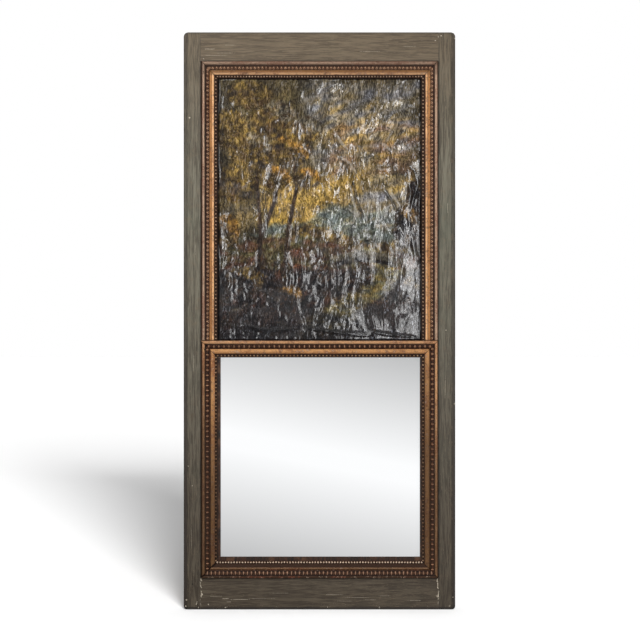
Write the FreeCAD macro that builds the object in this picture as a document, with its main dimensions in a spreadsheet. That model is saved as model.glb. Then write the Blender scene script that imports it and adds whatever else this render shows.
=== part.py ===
# Trumeau mirror: a painted frame with a framed canvas above a framed mirror glass.
# Millimetres. X runs across the front, Y runs from the front to the back, Z runs up.
# The origin is the middle of the frame's bottom edge, half way through its thickness.

import FreeCAD, Part
import Sketcher
import math
import os
import re

doc = FreeCAD.newDocument("trumeau_mirror")
sizes = doc.addObject("Spreadsheet::Sheet", "sizes")

driving_sizes = {
    # Painted frame
    "frame_height": 1450, "frame_width": 683, "frame_thick": 30,
    "stile_width": 42.5, "top_rail_height": 72, "bottom_rail_height": 79,
    "head_radius": 12, "foot_radius": 9, "arris_radius": 5,
    "edge_bead": 8, "edge_quirk_width": 1.4, "edge_quirk_depth": 1.6,
    # Mortise and tenon joints
    "tenon_thick": 9, "tenon_length": 30, "tenon_shoulder": 12,
    "joint_gap": 0.1, "mortise_end_gap": 2,
    "peg_diameter": 8, "peg_length": 22, "peg_inset": 14, "peg_pitch": 26, "peg_gap": 0.05,
    "middle_rail_height": 20, "middle_tenon_thick": 7, "middle_tenon_shoulder": 4,
    "middle_tenon_length": 24, "middle_rail_drop": 10,
    # Gilt mouldings
    "mirror_frame_height": 597, "moulding_proud": 10, "moulding_depth": 26,
    "bead_width": 8.5, "bead_height": 4, "quirk_width": 1, "quirk_depth": 6,
    "leaf_width": 9.5, "leaf_seat_depth": 9.5, "leaf_rise": 3.4,
    "hollow_width": 7, "hollow_depth": 13, "hollow_radius": 7,
    "fillet_width": 5, "fillet_depth": 11, "fillet_radius": 5,
    "groove_width": 3.5, "pearl_seat_width": 7.5, "pearl_seat_depth": 15,
    "lip_depth": 18, "rebate_width": 8,
    "pearl_radius": 3, "pearl_inset": 4.4, "pearl_neck": 0.9,
    "picture_pearl_pitch": 9.2, "mirror_pearl_pitch": 9.4, "mirror_bottom_pearl_pitch": 7.3,
    # Mirror glass and what holds it
    "slip_left": 8, "slip_right": 4, "slip_top": 1, "slip_bottom": 10, "slip_thick": 3,
    "fit_gap": 0.1, "glass_gap": 2, "glass_thick": 4, "silvering_thick": 0.2,
    "wedge_length": 30, "wedge_depth": 3.6, "wedge_gap": 0.05,
    "board_thick": 8, "board_lap": 18, "board_gap": 1, "board_bottom_margin": 24,
    "board_nail_inset": 9, "board_nail_shank": 1.2, "board_nail_length": 20,
    "board_nail_head": 3.2, "board_nail_head_thick": 1.1,
    # Canvas and stretcher
    "canvas_thick": 1.5, "canvas_gap": 2, "canvas_bottom_gap": 0.5, "stretcher_gap": 0.3,
    "bar_width": 45, "bar_thick": 14, "bridle_thick": 5, "bridle_gap": 0.15,
    "crossbar_width": 40, "crossbar_tongue": 24, "crossbar_rise": 10,
    "key_room": 9, "key_thin": 3, "key_gap": 0.3, "key_proud": 7,
    "tack_spacing": 74, "tack_margin": 38, "tack_head": 3, "tack_head_thick": 0.7,
    "tack_shank": 0.8, "tack_length": 8,
    # Glue blocks and the nails that keep the stretcher in
    "block_size": 14, "block_length": 70, "block_margin": 60,
    "keeper_radius": 1.1, "keeper_in_block": 8, "keeper_over_bar": 16, "keeper_gap": 0.1,
    # Hangers
    "hanger_height": 1150, "strap_width": 20, "strap_length": 56, "strap_thick": 1.5,
    "strap_top": 1.5, "ring_wire_radius": 1.5, "ring_bend_radius": 13, "ring_leg": 9,
    "ring_running_gap": 0.05, "ring_clearance": 0.35,
    "screw_first": 32, "screw_pitch": 15, "screw_radius": 1.8, "screw_hole_gap": 0.2,
    "screw_length": 20, "screw_head_radius": 3.6, "screw_head_thick": 2,
}

for row, (alias, value) in enumerate(driving_sizes.items(), start=1):
    sizes.set(f"A{row}", str(value))
    sizes.setAlias(f"A{row}", alias)
doc.recompute()

# Places worked out from the driving sizes. Local places of a moulding are measured from
# its outer edge (across) and from the front of its bead (depth).
half_opening = "(frame_width / 2 - stile_width)"
frame_back = "(frame_thick / 2)"
frame_front = "(0 - frame_thick / 2)"
opening_top = "(frame_height - top_rail_height)"
mirror_top = "(bottom_rail_height + mirror_frame_height)"
leaf_start = "(bead_width + quirk_width)"
leaf_end = f"({leaf_start} + leaf_width)"
hollow_end = f"({leaf_end} + hollow_width)"
fillet_end = f"({hollow_end} + fillet_width)"
groove_end = f"({fillet_end} + groove_width)"
moulding_width = f"({groove_end} + pearl_seat_width)"
rebate_wall = f"({moulding_width} - rebate_width)"
pearl_line = f"({moulding_width} - pearl_inset)"
moulding_front = f"({frame_front} - moulding_proud)"
moulding_back = f"({moulding_front} + moulding_depth)"
lip_back = f"({moulding_front} + lip_depth)"
# Walls of the rebates that hold the glass and the canvas
rebate_side = f"({half_opening} - {rebate_wall})"
rebate_floor = f"(bottom_rail_height + {rebate_wall})"
rebate_ceiling = f"({mirror_top} - {rebate_wall})"
sight_side = f"({half_opening} - {moulding_width})"
middle_rail_top = f"({mirror_top} - middle_rail_drop)"
middle_rail_bottom = f"({middle_rail_top} - middle_rail_height)"

finished = []


def cell(text):
    return re.sub(r"\b[a-z]\w*", r"sizes.\g<0>", text)


def measure(text):
    return float(sizes.evalExpression(cell(text)))


def place(item, x="0", y="0", z="0", turn=None):
    if turn:
        axis, angle = turn
        rotation = FreeCAD.Rotation(FreeCAD.Vector(*axis), angle)
        item.Placement = FreeCAD.Placement(FreeCAD.Vector(), rotation)
    for letter, text in zip("xyz", (x, y, z)):
        item.setExpression(f"Placement.Base.{letter}", cell(text))
    return item


def sub_part(item, label):
    item.Label = label
    finished.append(item)
    return item


# ---- sketches and features of a body ------------------------------------------------

def new_body(label):
    body = doc.addObject("PartDesign::Body", label)
    return sub_part(body, label)


def origin_plane(body, role):
    return next(item for item in body.Origin.OriginFeatures if item.Role == role)


def new_sketch(body, role, offset=None):
    sketch = body.newObject("Sketcher::SketchObject", f"{body.Name}_sketch")
    sketch.AttachmentSupport = [(origin_plane(body, role), "")]
    sketch.MapMode = "FlatFace"
    if offset:
        sketch.setExpression("AttachmentOffset.Base.z", cell(offset))
    return sketch


def arc_between(start, end, radius, clockwise):
    middle = (start + end) / 2
    chord = end - start
    height = math.sqrt(max(radius ** 2 - (chord.Length / 2) ** 2, 0))
    side = FreeCAD.Vector(-chord.y, chord.x, 0).normalize() * height
    centre = middle - side if clockwise else middle + side
    first, last = (end, start) if clockwise else (start, end)
    angles = [math.atan2(point.y - centre.y, point.x - centre.x) for point in (first, last)]
    circle = Part.Circle(centre, FreeCAD.Vector(0, 0, 1), radius)
    return Part.ArcOfCircle(circle, angles[0], angles[1])


def outline(sketch, corners):
    """Closed outline. A corner is (x, y) or (x, y, radius, clockwise), where the
    radius belongs to the stretch that leaves that corner."""
    points = [FreeCAD.Vector(measure(corner[0]), measure(corner[1]), 0) for corner in corners]
    ends = []
    for index, corner in enumerate(corners):
        start, end = points[index], points[(index + 1) % len(points)]
        if len(corner) == 2:
            geometry = sketch.addGeometry(Part.LineSegment(start, end))
            ends.append((geometry, 1, 2))
            continue
        radius, clockwise = corner[2], corner[3]
        geometry = sketch.addGeometry(arc_between(start, end, measure(radius), clockwise))
        ends.append((geometry, 2, 1) if clockwise else (geometry, 1, 2))
        bound(sketch, Sketcher.Constraint("Radius", geometry, measure(radius)), radius)
    for index, (geometry, first, last) in enumerate(ends):
        following = ends[(index + 1) % len(ends)]
        sketch.addConstraint(Sketcher.Constraint("Coincident", geometry, last, following[0], following[1]))
        point = points[index]
        across = Sketcher.Constraint("DistanceX", -1, 1, geometry, first, point.x)
        upward = Sketcher.Constraint("DistanceY", -1, 1, geometry, first, point.y)
        bound(sketch, across, corners[index][0])
        bound(sketch, upward, corners[index][1])


def bound(sketch, constraint, text):
    index = sketch.addConstraint(constraint)
    sketch.setExpression(f"Constraints[{index}]", cell(text))


def rectangle(sketch, x, y):
    outline(sketch, [(x[0], y[0]), (x[1], y[0]), (x[1], y[1]), (x[0], y[1])])


def circle(sketch, x, y, radius):
    centre = FreeCAD.Vector(measure(x), measure(y), 0)
    ring = Part.Circle(centre, FreeCAD.Vector(0, 0, 1), measure(radius))
    geometry = sketch.addGeometry(ring)
    bound(sketch, Sketcher.Constraint("Radius", geometry, measure(radius)), radius)
    bound(sketch, Sketcher.Constraint("DistanceX", -1, 1, geometry, 3, centre.x), x)
    bound(sketch, Sketcher.Constraint("DistanceY", -1, 1, geometry, 3, centre.y), y)


def pad(body, sketch, length, symmetric=False):
    feature = body.newObject("PartDesign::Pad", f"{body.Name}_pad")
    feature.Profile = sketch
    feature.setExpression("Length", cell(length))
    feature.SideType = "Symmetric" if symmetric else "One side"
    return feature


def pocket(body, sketch, depth=None, forward=False):
    """Cuts right through both ways, or to a depth behind or in front of the sketch."""
    doc.recompute()
    before = body.Shape.Volume
    feature = body.newObject("PartDesign::Pocket", f"{body.Name}_pocket")
    feature.Profile = sketch
    if depth is None:
        feature.Type = "ThroughAll"
        feature.SideType = "Symmetric"
    else:
        feature.setExpression("Length", cell(depth))
        feature.Reversed = forward
    doc.recompute()
    if body.Shape.Volume >= before - 1e-6:
        raise RuntimeError(f"{feature.Name} cuts nothing")
    return feature


# ---- plain solids -------------------------------------------------------------------

def slab(name, x, y, z):
    """Block between two places on each axis."""
    box = doc.addObject("Part::Box", name)
    for edge, (low, high) in zip(("Length", "Width", "Height"), (x, y, z)):
        box.setExpression(edge, cell(f"({high}) - ({low})"))
    return place(box, x[0], y[0], z[0])


def rod(name, radius, length, x, y, z, turn=None):
    cylinder = doc.addObject("Part::Cylinder", name)
    cylinder.setExpression("Radius", cell(radius))
    cylinder.setExpression("Height", cell(length))
    return place(cylinder, x, y, z, turn)


def union(name, items):
    joined = doc.addObject("Part::MultiFuse", name)
    joined.Shapes = items
    return joined


def difference(name, base, tools):
    cut = doc.addObject("Part::Cut", name)
    cut.Base = base
    cut.Tool = tools[0] if len(tools) == 1 else group(f"{name}_tools", tools)
    return cut


def group(name, items):
    together = doc.addObject("Part::Compound", name)
    together.Links = items
    return together


# Quarter and half turns that aim a rod, drawn upwards, along another axis
along_x = ((0, 1, 0), 90)
along_minus_x = ((0, 1, 0), -90)
along_y = ((1, 0, 0), -90)
along_minus_y = ((1, 0, 0), 90)
downwards = ((1, 0, 0), 180)


def nail(name, head_radius, head_thick, shank_radius, length, x, y, z, turn):
    """Nail with its head's underside at the place given and its shank along the turn."""
    head = rod(f"{name}_head", head_radius, head_thick, "0", "0", f"0 - {head_thick}")
    shank = rod(f"{name}_shank", shank_radius, length, "0", "0", "0")
    return place(union(name, [head, shank]), x, y, z, turn)


# ---- painted frame ------------------------------------------------------------------

def rail_pegs(rail):
    """Heights of the two pegs in each end of a rail."""
    middle = {"top": "(frame_height - top_rail_height / 2)", "bottom": "(bottom_rail_height / 2)"}[rail]
    return [f"({middle} - peg_pitch / 2)", f"({middle} + peg_pitch / 2)"]


def tenon_span(rail):
    """Heights between which a rail's tenon lies."""
    if rail == "top":
        return f"({opening_top} + tenon_shoulder)", "(frame_height - tenon_shoulder)"
    if rail == "bottom":
        return "tenon_shoulder", "(bottom_rail_height - tenon_shoulder)"
    return (f"({middle_rail_bottom} + middle_tenon_shoulder)",
            f"({middle_rail_top} - middle_tenon_shoulder)")


def middle_tenon_depth():
    """Where the middle rail's tenon lies between front and back."""
    middle = f"(({moulding_back} + {frame_back}) / 2)"
    return f"({middle} - middle_tenon_thick / 2)", f"({middle} + middle_tenon_thick / 2)"


def stile(label, side):
    """Full-height upright with a quirked bead on its outer edge and rounded ends."""
    def out(text):
        return f"({side}) * ({text})"

    body = new_body(label)
    bead = "(stile_width - edge_bead)"
    quirk_floor = f"({frame_front} + edge_quirk_depth)"
    section = new_sketch(body, "XY_Plane")
    outline(section, [
        (out("0"), frame_back), (out("0"), frame_front),
        (out(f"{bead} - edge_quirk_width"), frame_front),
        (out(f"{bead} - edge_quirk_width"), quirk_floor),
        (out(bead), quirk_floor), (out(bead), frame_front),
        (out("stile_width - arris_radius"), frame_front, "arris_radius", side < 0),
        (out("stile_width"), f"{frame_front} + arris_radius"), (out("stile_width"), frame_back)])
    pad(body, section, "frame_height")

    ends = new_sketch(body, "XZ_Plane")
    spare = "frame_thick"
    outline(ends, [
        (out("stile_width - head_radius"), "frame_height", "head_radius", side > 0),
        (out("stile_width"), "frame_height - head_radius"),
        (out(f"stile_width + {spare}"), "frame_height - head_radius"),
        (out(f"stile_width + {spare}"), f"frame_height + {spare}"),
        (out("stile_width - head_radius"), f"frame_height + {spare}")])
    outline(ends, [
        (out("stile_width"), "foot_radius", "foot_radius", side > 0),
        (out("stile_width - foot_radius"), "0"),
        (out("stile_width - foot_radius"), f"0 - {spare}"),
        (out(f"stile_width + {spare}"), f"0 - {spare}"),
        (out(f"stile_width + {spare}"), "foot_radius")])
    pocket(body, ends)

    mortises = new_sketch(body, "YZ_Plane")
    half_thick = "(tenon_thick / 2 + joint_gap)"
    for rail in ("top", "bottom"):
        low, high = tenon_span(rail)
        rectangle(mortises, (f"0 - {half_thick}", half_thick),
                  (f"{low} - joint_gap", f"{high} + joint_gap"))
    pocket(body, mortises, "tenon_length + mortise_end_gap", side > 0)

    low, high = tenon_span("middle")
    near, far = middle_tenon_depth()
    slot = new_sketch(body, "YZ_Plane")
    rectangle(slot, (f"{near} - joint_gap", f"{far} + joint_gap"),
              (f"{low} - joint_gap", f"{high} + joint_gap"))
    pocket(body, slot, "middle_tenon_length + mortise_end_gap", side > 0)

    peg_holes = new_sketch(body, "XZ_Plane", frame_front)
    for rail in ("top", "bottom"):
        for height in rail_pegs(rail):
            circle(peg_holes, out("peg_inset"), height, "peg_diameter / 2")
    pocket(body, peg_holes, "peg_length", True)
    return place(body, out(half_opening))


def rail(label, which, low, high):
    """Cross member with a tenon at both ends, bored for its pegs."""
    body = new_body(label)
    section = new_sketch(body, "YZ_Plane")
    rectangle(section, (frame_front, frame_back), (low, high))
    pad(body, section, f"2 * {half_opening}", symmetric=True)
    tongue = new_sketch(body, "YZ_Plane")
    rectangle(tongue, ("0 - tenon_thick / 2", "tenon_thick / 2"), tenon_span(which))
    pad(body, tongue, f"2 * ({half_opening} + tenon_length)", symmetric=True)
    holes = new_sketch(body, "XZ_Plane")
    for side in (-1, 1):
        for height in rail_pegs(which):
            circle(holes, f"({side}) * ({half_opening} + peg_inset)", height, "peg_diameter / 2")
    pocket(body, holes)


def middle_rail(label):
    body = new_body(label)
    section = new_sketch(body, "YZ_Plane")
    rectangle(section, (moulding_back, frame_back), (middle_rail_bottom, middle_rail_top))
    pad(body, section, f"2 * {half_opening}", symmetric=True)
    tongue = new_sketch(body, "YZ_Plane")
    rectangle(tongue, middle_tenon_depth(), tenon_span("middle"))
    pad(body, tongue, f"2 * ({half_opening} + middle_tenon_length)", symmetric=True)


def tenon_pegs(label):
    pegs = []
    for side in (-1, 1):
        for which in ("top", "bottom"):
            for height in rail_pegs(which):
                pegs.append(rod(f"peg_{len(pegs)}", "peg_diameter / 2 - peg_gap", "peg_length - peg_gap",
                                f"({side}) * ({half_opening} + peg_inset)", frame_back, height,
                                along_minus_y))
    sub_part(group(label, pegs), label)


# ---- gilt mouldings -----------------------------------------------------------------

def mitre(body, length, at_start, at_end):
    """Cuts 45 degree mitres, longest at the outer edge, on the ends named."""
    reach = f"({moulding_width} + {length} / 10)"
    spare = "moulding_depth"
    cuts = new_sketch(body, "XZ_Plane")
    if at_start:
        outline(cuts, [(f"0 - {spare}", f"0 - {spare}"), (reach, f"0 - {spare}"), (reach, reach)])
    if at_end:
        outline(cuts, [(f"0 - {spare}", f"{length} + {spare}"), (reach, f"{length} - {reach}"),
                       (reach, f"{length} + {spare}")])
    pocket(body, cuts)


def run_of(body, length, places, mitres):
    """Finishes one length of trim: mitred ends, then its place and quarter turn."""
    at_start, at_end = mitres
    if at_start or at_end:
        mitre(body, length, at_start, at_end)
    x, z, angle = places
    place(body, x, moulding_front, z, ((0, 1, 0), angle))


def moulding(label, length, places, mitres, outer_rebate=False):
    """Gilt moulding: bead, leaf seat, hollow, fillet, pearl seat and a rebate behind."""
    body = new_body(label)
    section = new_sketch(body, "XY_Plane")
    if outer_rebate:
        outer = [("rebate_width", "moulding_depth"), ("rebate_width", "lip_depth"), ("0", "lip_depth")]
    else:
        outer = [("0", "moulding_depth")]
    bead_radius = "((bead_width * bead_width / 4 + bead_height * bead_height) / (2 * bead_height))"
    outline(section, outer + [
        ("0", "bead_height", bead_radius, False), ("bead_width", "bead_height"),
        ("bead_width", "quirk_depth"), (leaf_start, "quirk_depth"),
        (leaf_end, "leaf_seat_depth", "hollow_radius", True),
        (hollow_end, "hollow_depth"), (hollow_end, "fillet_depth", "fillet_radius", False),
        (fillet_end, "fillet_depth"), (fillet_end, "pearl_seat_depth"),
        (moulding_width, "pearl_seat_depth"), (moulding_width, "lip_depth"),
        (rebate_wall, "lip_depth"), (rebate_wall, "moulding_depth")])
    pad(body, section, length)
    run_of(body, length, places, mitres)


def leaf_strip(label, length, places, mitres):
    """Rounded course that carries the pressed leaves, on its sloping seat."""
    body = new_body(label)
    section = new_sketch(body, "XY_Plane")
    slope = "(leaf_seat_depth - quirk_depth)"
    half_chord_squared = f"((leaf_width * leaf_width + {slope} * {slope}) / 4)"
    radius = f"(({half_chord_squared} + leaf_rise * leaf_rise) / (2 * leaf_rise))"
    outline(section, [(leaf_start, "quirk_depth", radius, False), (leaf_end, "leaf_seat_depth")])
    pad(body, section, length)
    run_of(body, length, places, mitres)


def pearl_strip(label, length, places, mitres, pitch):
    """String of half-round pearls on a thin neck, flat where it lies on its seat."""
    radius, neck = measure("pearl_radius"), measure("pearl_neck")
    across, seat = measure(pearl_line), measure("pearl_seat_depth")
    start = across if mitres[0] else 0.0
    end = measure(length) - (across if mitres[1] else 0.0)
    count = max(int(round((end - start) / measure(pitch))), 1)
    step = (end - start) / count
    half_width = math.sqrt(radius ** 2 - neck ** 2)

    def point(out, along_strip):
        return FreeCAD.Vector(across + out, seat, along_strip)

    corners = [point(0, start), point(neck, start)]
    edges = [Part.LineSegment(*corners).toShape()]
    for index in range(count):
        middle = start + (index + 0.5) * step
        foot, head = point(neck, middle - half_width), point(neck, middle + half_width)
        edges.append(Part.LineSegment(corners[-1], foot).toShape())
        edges.append(Part.Arc(foot, point(radius, middle), head).toShape())
        corners.append(head)
    for corner in (point(neck, end), point(0, end), corners[0]):
        edges.append(Part.LineSegment(corners[-1], corner).toShape())
        corners.append(corner)
    item = doc.addObject("Part::Feature", label)
    item.Shape = Part.Face(Part.Wire(edges)).revolve(point(0, 0), FreeCAD.Vector(0, 0, 1), -180)
    x, z, angle = places
    place(sub_part(item, label), x, moulding_front, z, ((0, 1, 0), angle))


def gilt_trim():
    """The picture's three-sided moulding stands on the mirror's four-sided one."""
    left, right = f"0 - {half_opening}", half_opening
    picture_height, across = f"({opening_top} - {mirror_top})", f"(2 * {half_opening})"
    high = "mirror_frame_height"
    # name: length, (x, z, quarter turn), (mitred at its start, at its end), pearl pitch
    picture_runs = {
        "left": (picture_height, (left, mirror_top, 0), (False, True), "picture_pearl_pitch"),
        "top": (across, (left, opening_top, 90), (True, True), "picture_pearl_pitch"),
        "right": (picture_height, (right, opening_top, 180), (True, False), "picture_pearl_pitch")}
    mirror_runs = {
        "left": (high, (left, "bottom_rail_height", 0), (True, True), "mirror_pearl_pitch"),
        "top": (across, (left, mirror_top, 90), (True, True), "mirror_pearl_pitch"),
        "right": (high, (right, mirror_top, 180), (True, True), "mirror_pearl_pitch"),
        "bottom": (across, (right, "bottom_rail_height", -90), (True, True),
                   "mirror_bottom_pearl_pitch")}
    for owner, runs in (("picture", picture_runs), ("mirror", mirror_runs)):
        for name, (length, places, mitres, pitch) in runs.items():
            laps_canvas = owner == "mirror" and name == "top"
            moulding(f"{owner}_moulding_{name}", length, places, mitres, laps_canvas)
            leaf_strip(f"{owner}_leaf_strip_{name}", length, places, mitres)
            pearl_strip(f"{owner}_pearl_strip_{name}", length, places, mitres, pitch)


# ---- mirror glass, its slips, wedges and boards -------------------------------------

slip_depth = (f"{lip_back} + fit_gap", f"{lip_back} + fit_gap + slip_thick")
glass_front = f"({lip_back} + 2 * fit_gap + slip_thick)"
glass_back = f"({glass_front} + glass_thick)"
glass_side = f"({rebate_side} - glass_gap)"
glass_bottom = f"({rebate_floor} + glass_gap)"
glass_top = f"({rebate_ceiling} - glass_gap)"


def mirror_slips():
    """Four thin strips that close the joint between the pearls and the glass."""
    wall = f"({rebate_side} - fit_gap)"
    bottom = (f"{rebate_floor} + fit_gap", f"(bottom_rail_height + {moulding_width} + slip_bottom)")
    top = (f"({mirror_top} - {moulding_width} - slip_top)", f"{rebate_ceiling} - fit_gap")
    upright = (f"{bottom[1]} + fit_gap", f"{top[0]} - fit_gap")
    whole = (f"0 - {wall}", wall)
    for name, x, z in (("bottom", whole, bottom), ("top", whole, top),
                       ("left", (f"0 - {wall}", f"slip_left - {sight_side}"), upright),
                       ("right", (f"{sight_side} - slip_right", wall), upright)):
        label = f"mirror_slip_{name}"
        sub_part(slab(label, x, slip_depth, z), label)


def mirror_glass():
    x, z = (f"0 - {glass_side}", glass_side), (glass_bottom, glass_top)
    sub_part(slab("mirror_glass", x, (glass_front, glass_back), z), "mirror_glass")
    silvered = (glass_back, f"{glass_back} + silvering_thick")
    sub_part(slab("mirror_silvering", x, silvered, z), "mirror_silvering")


# Wedges beside the glass, as shares of its height, and above and below, of its half width
side_wedge_shares = (0.2, 0.5, 0.8)
end_wedge_shares = (-0.5, 0.5)


def glass_wedges(label):
    """Slivers of wood that keep the glass centred in its rebate."""
    wedges = []
    depth = (f"{glass_back} - wedge_depth", glass_back)
    gap = (f"{glass_side} + wedge_gap", f"{rebate_side} - wedge_gap")
    for share in side_wedge_shares:
        middle = f"({glass_bottom} + {share} * ({glass_top} - {glass_bottom}))"
        span = (f"{middle} - wedge_length / 2", f"{middle} + wedge_length / 2")
        wedges.append(slab(f"wedge_{len(wedges)}", gap, depth, span))
        wedges.append(slab(f"wedge_{len(wedges)}", (f"0 - ({gap[1]})", f"0 - ({gap[0]})"), depth, span))
    for share in end_wedge_shares:
        middle = f"({share} * {glass_side})"
        span = (f"{middle} - wedge_length / 2", f"{middle} + wedge_length / 2")
        for low, high in ((rebate_floor, glass_bottom), (glass_top, rebate_ceiling)):
            wedges.append(slab(f"wedge_{len(wedges)}", span, depth,
                               (f"{low} + wedge_gap", f"{high} - wedge_gap")))
    sub_part(group(label, wedges), label)


board_names = ("lower", "centre", "upper")
board_floor = "(bottom_rail_height + board_bottom_margin)"
board_pitch = f"(({middle_rail_bottom} - {board_floor}) / {len(board_names)})"
board_half_length = f"({rebate_side} + board_lap)"
nail_line = f"({board_half_length} - board_nail_inset)"
# Two nails in each end of a board, above and below its middle, as shares of its height
nail_rises = (-0.25, 0.25)


def mirror_boards():
    """Planks behind the glass, nailed to the back of the mirror's side mouldings."""
    back = f"({moulding_back} + board_thick)"
    board_nail = ("board_nail_head", "board_nail_head_thick", "board_nail_shank", "board_nail_length")
    nails = []
    for index, name in enumerate(board_names):
        low = f"({board_floor} + {index} * {board_pitch})"
        middle = f"({low} + {board_pitch} / 2)"
        label = f"mirror_backboard_{name}"
        sub_part(slab(label, (f"0 - {board_half_length}", board_half_length),
                      (moulding_back, back), (low, f"{low} + {board_pitch} - board_gap")), label)
        for side in (-1, 1):
            for rise in nail_rises:
                nails.append(nail(f"board_nail_{len(nails)}", *board_nail, f"({side}) * {nail_line}",
                                  back, f"{middle} + ({rise}) * {board_pitch}", along_minus_y))
    sub_part(group("backboard_nails", nails), "backboard_nails")


# ---- canvas on its stretcher --------------------------------------------------------

canvas_front = f"({lip_back} + fit_gap)"
canvas_side = f"({rebate_side} - canvas_gap)"
canvas_bottom = f"({mirror_top} - rebate_width + canvas_bottom_gap)"
canvas_top = f"({opening_top} - {rebate_wall} - canvas_gap)"
canvas_wall = "(canvas_thick + stretcher_gap)"
bar_front = f"({canvas_front} + {canvas_wall})"
bar_back = f"({bar_front} + bar_thick)"
bar_side = f"({canvas_side} - {canvas_wall})"
bar_inner = f"({bar_side} - bar_width)"
bar_bottom = f"({canvas_bottom} + {canvas_wall})"
bar_top = f"({canvas_top} - {canvas_wall})"
crossbar_middle = f"(({bar_bottom} + {bar_top}) / 2 + crossbar_rise)"
bridle_middle = f"({bar_front} + bar_thick / 2)"
bridle_slot = (f"({bridle_middle} - bridle_thick / 2)", f"({bridle_middle} + bridle_thick / 2)")
bridle_tongue = (f"({bridle_slot[0]} + bridle_gap)", f"({bridle_slot[1]} - bridle_gap)")


def canvas(label):
    """Primed cloth: its face and the edges that turn back round the stretcher."""
    cloth = slab("cloth_outside", (f"0 - {canvas_side}", canvas_side),
                 (canvas_front, bar_back), (canvas_bottom, canvas_top))
    inside = slab("cloth_inside",
                  (f"canvas_thick - {canvas_side}", f"{canvas_side} - canvas_thick"),
                  (f"{canvas_front} + canvas_thick", f"{bar_back} + bar_thick"),
                  (f"{canvas_bottom} + canvas_thick", f"{canvas_top} - canvas_thick"))
    sub_part(difference(label, cloth, [inside]), label)


def stretcher_upright(label, side):
    """Side bar, slotted at both ends and mortised for the crossbar, with room for keys."""
    edges = sorted((f"({side}) * {bar_inner}", f"({side}) * {bar_side}"), key=measure)
    bar = slab(f"{label}_bar", edges, (bar_front, bar_back), (bar_bottom, bar_top))
    reach = "(bar_width + key_room)"
    through = (f"{edges[0]} - bar_width", f"{edges[1]} + bar_width")
    inner = sorted((f"({side}) * ({bar_inner} - bar_width)",
                    f"({side}) * ({bar_inner} + crossbar_tongue + bridle_gap)"), key=measure)
    cross = (f"{crossbar_middle} - crossbar_width / 2 - bridle_gap - key_room",
             f"{crossbar_middle} + crossbar_width / 2 + bridle_gap")
    slots = [slab(f"{label}_foot_slot", through, bridle_slot,
                  (f"{bar_bottom} - bar_width", f"{bar_bottom} + {reach}")),
             slab(f"{label}_head_slot", through, bridle_slot,
                  (f"{bar_top} - {reach}", f"{bar_top} + bar_width")),
             slab(f"{label}_cross_slot", inner, bridle_slot, cross)]
    sub_part(difference(label, bar, slots), label)


def stretcher_cross_member(label, low, high, tongue_end):
    """Cross bar between the side bars, with a tongue that runs into both of them."""
    bar = slab(f"{label}_bar", (f"bridle_gap - {bar_inner}", f"{bar_inner} - bridle_gap"),
               (bar_front, bar_back), (low, high))
    tongue = slab(f"{label}_tongue", (f"0 - {tongue_end}", tongue_end), bridle_tongue, (low, high))
    sub_part(union(label, [bar, tongue]), label)


def stretcher_keys(label):
    """Wedge-shaped keys beside the tongues, which spread the corners of the stretcher."""
    thick = "(bridle_thick - 2 * bridle_gap)"
    corner_length, cross_length = "(bar_width - key_gap)", "crossbar_tongue"
    # floor of each key's room, and how far the key runs into the bar
    rooms = ((f"({bar_bottom} + bar_width)", corner_length),
             (f"({bar_top} - bar_width - key_room)", corner_length),
             (f"({crossbar_middle} - crossbar_width / 2 - key_room)", cross_length))
    keys = []
    for side in (-1, 1):
        for floor, length in rooms:
            key = doc.addObject("Part::Wedge", f"key_{len(keys)}")
            wide = "(key_room - 2 * key_gap)"
            ends = {"Xmin": "0", "Xmax": wide, "X2min": f"({wide} - key_thin) / 2",
                    "X2max": f"({wide} + key_thin) / 2", "Ymin": "0",
                    "Ymax": f"{length} + key_proud", "Zmin": "0", "Zmax": thick,
                    "Z2min": "0", "Z2max": thick}
            for name, text in ends.items():
                key.setExpression(name, cell(text))
            x = f"({side}) * ({bar_inner} - key_proud)"
            # The wedge is drawn with its width along X and its length along Y.
            if side > 0:
                turn = FreeCAD.Rotation(FreeCAD.Vector(0, 0, 1), FreeCAD.Vector(1, 0, 0),
                                        FreeCAD.Vector(0, 1, 0), "ZXY")
                depth = bridle_tongue[0]
            else:
                turn = FreeCAD.Rotation(FreeCAD.Vector(0, 0, 1), FreeCAD.Vector(-1, 0, 0),
                                        FreeCAD.Vector(0, -1, 0), "ZXY")
                depth = bridle_tongue[1]
            key.Placement = FreeCAD.Placement(FreeCAD.Vector(), turn)
            keys.append(place(key, x, depth, f"{floor} + key_gap"))
    sub_part(group(label, keys), label)


def tack_line(low, high):
    """Evenly spaced places along an edge, in from both of its ends."""
    span = measure(f"{high} - {low} - 2 * tack_margin")
    count = max(int(round(span / measure("tack_spacing"))), 1)
    return [f"({low} + tack_margin + {index} * ({high} - {low} - 2 * tack_margin) / {count})"
            for index in range(count + 1)]


def canvas_tacks(label):
    """Tacks through the turned edges of the canvas into the stretcher's sides."""
    kind = ("tack_head", "tack_head_thick", "tack_shank", "tack_length + canvas_thick")
    tacks = []
    # Depth clear of the bridle slots
    depth = f"({bar_front} + (bar_thick - bridle_thick) / 4)"
    for height in tack_line(bar_bottom, bar_top):
        tacks.append(nail(f"tack_{len(tacks)}", *kind, f"0 - {canvas_side}", depth, height, along_x))
        tacks.append(nail(f"tack_{len(tacks)}", *kind, canvas_side, depth, height, along_minus_x))
    for across in tack_line(f"(0 - {bar_side})", bar_side):
        tacks.append(nail(f"tack_{len(tacks)}", *kind, across, depth, canvas_top, downwards))
    sub_part(group(label, tacks), label)


# ---- glue blocks and keeper nails ---------------------------------------------------

block_depth = (moulding_back, f"({moulding_back} + block_size)")
blocks_up_a_side = 3
# Blocks below the mirror, as shares of half the opening
foot_block_shares = (-0.4, 0.4)


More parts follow.
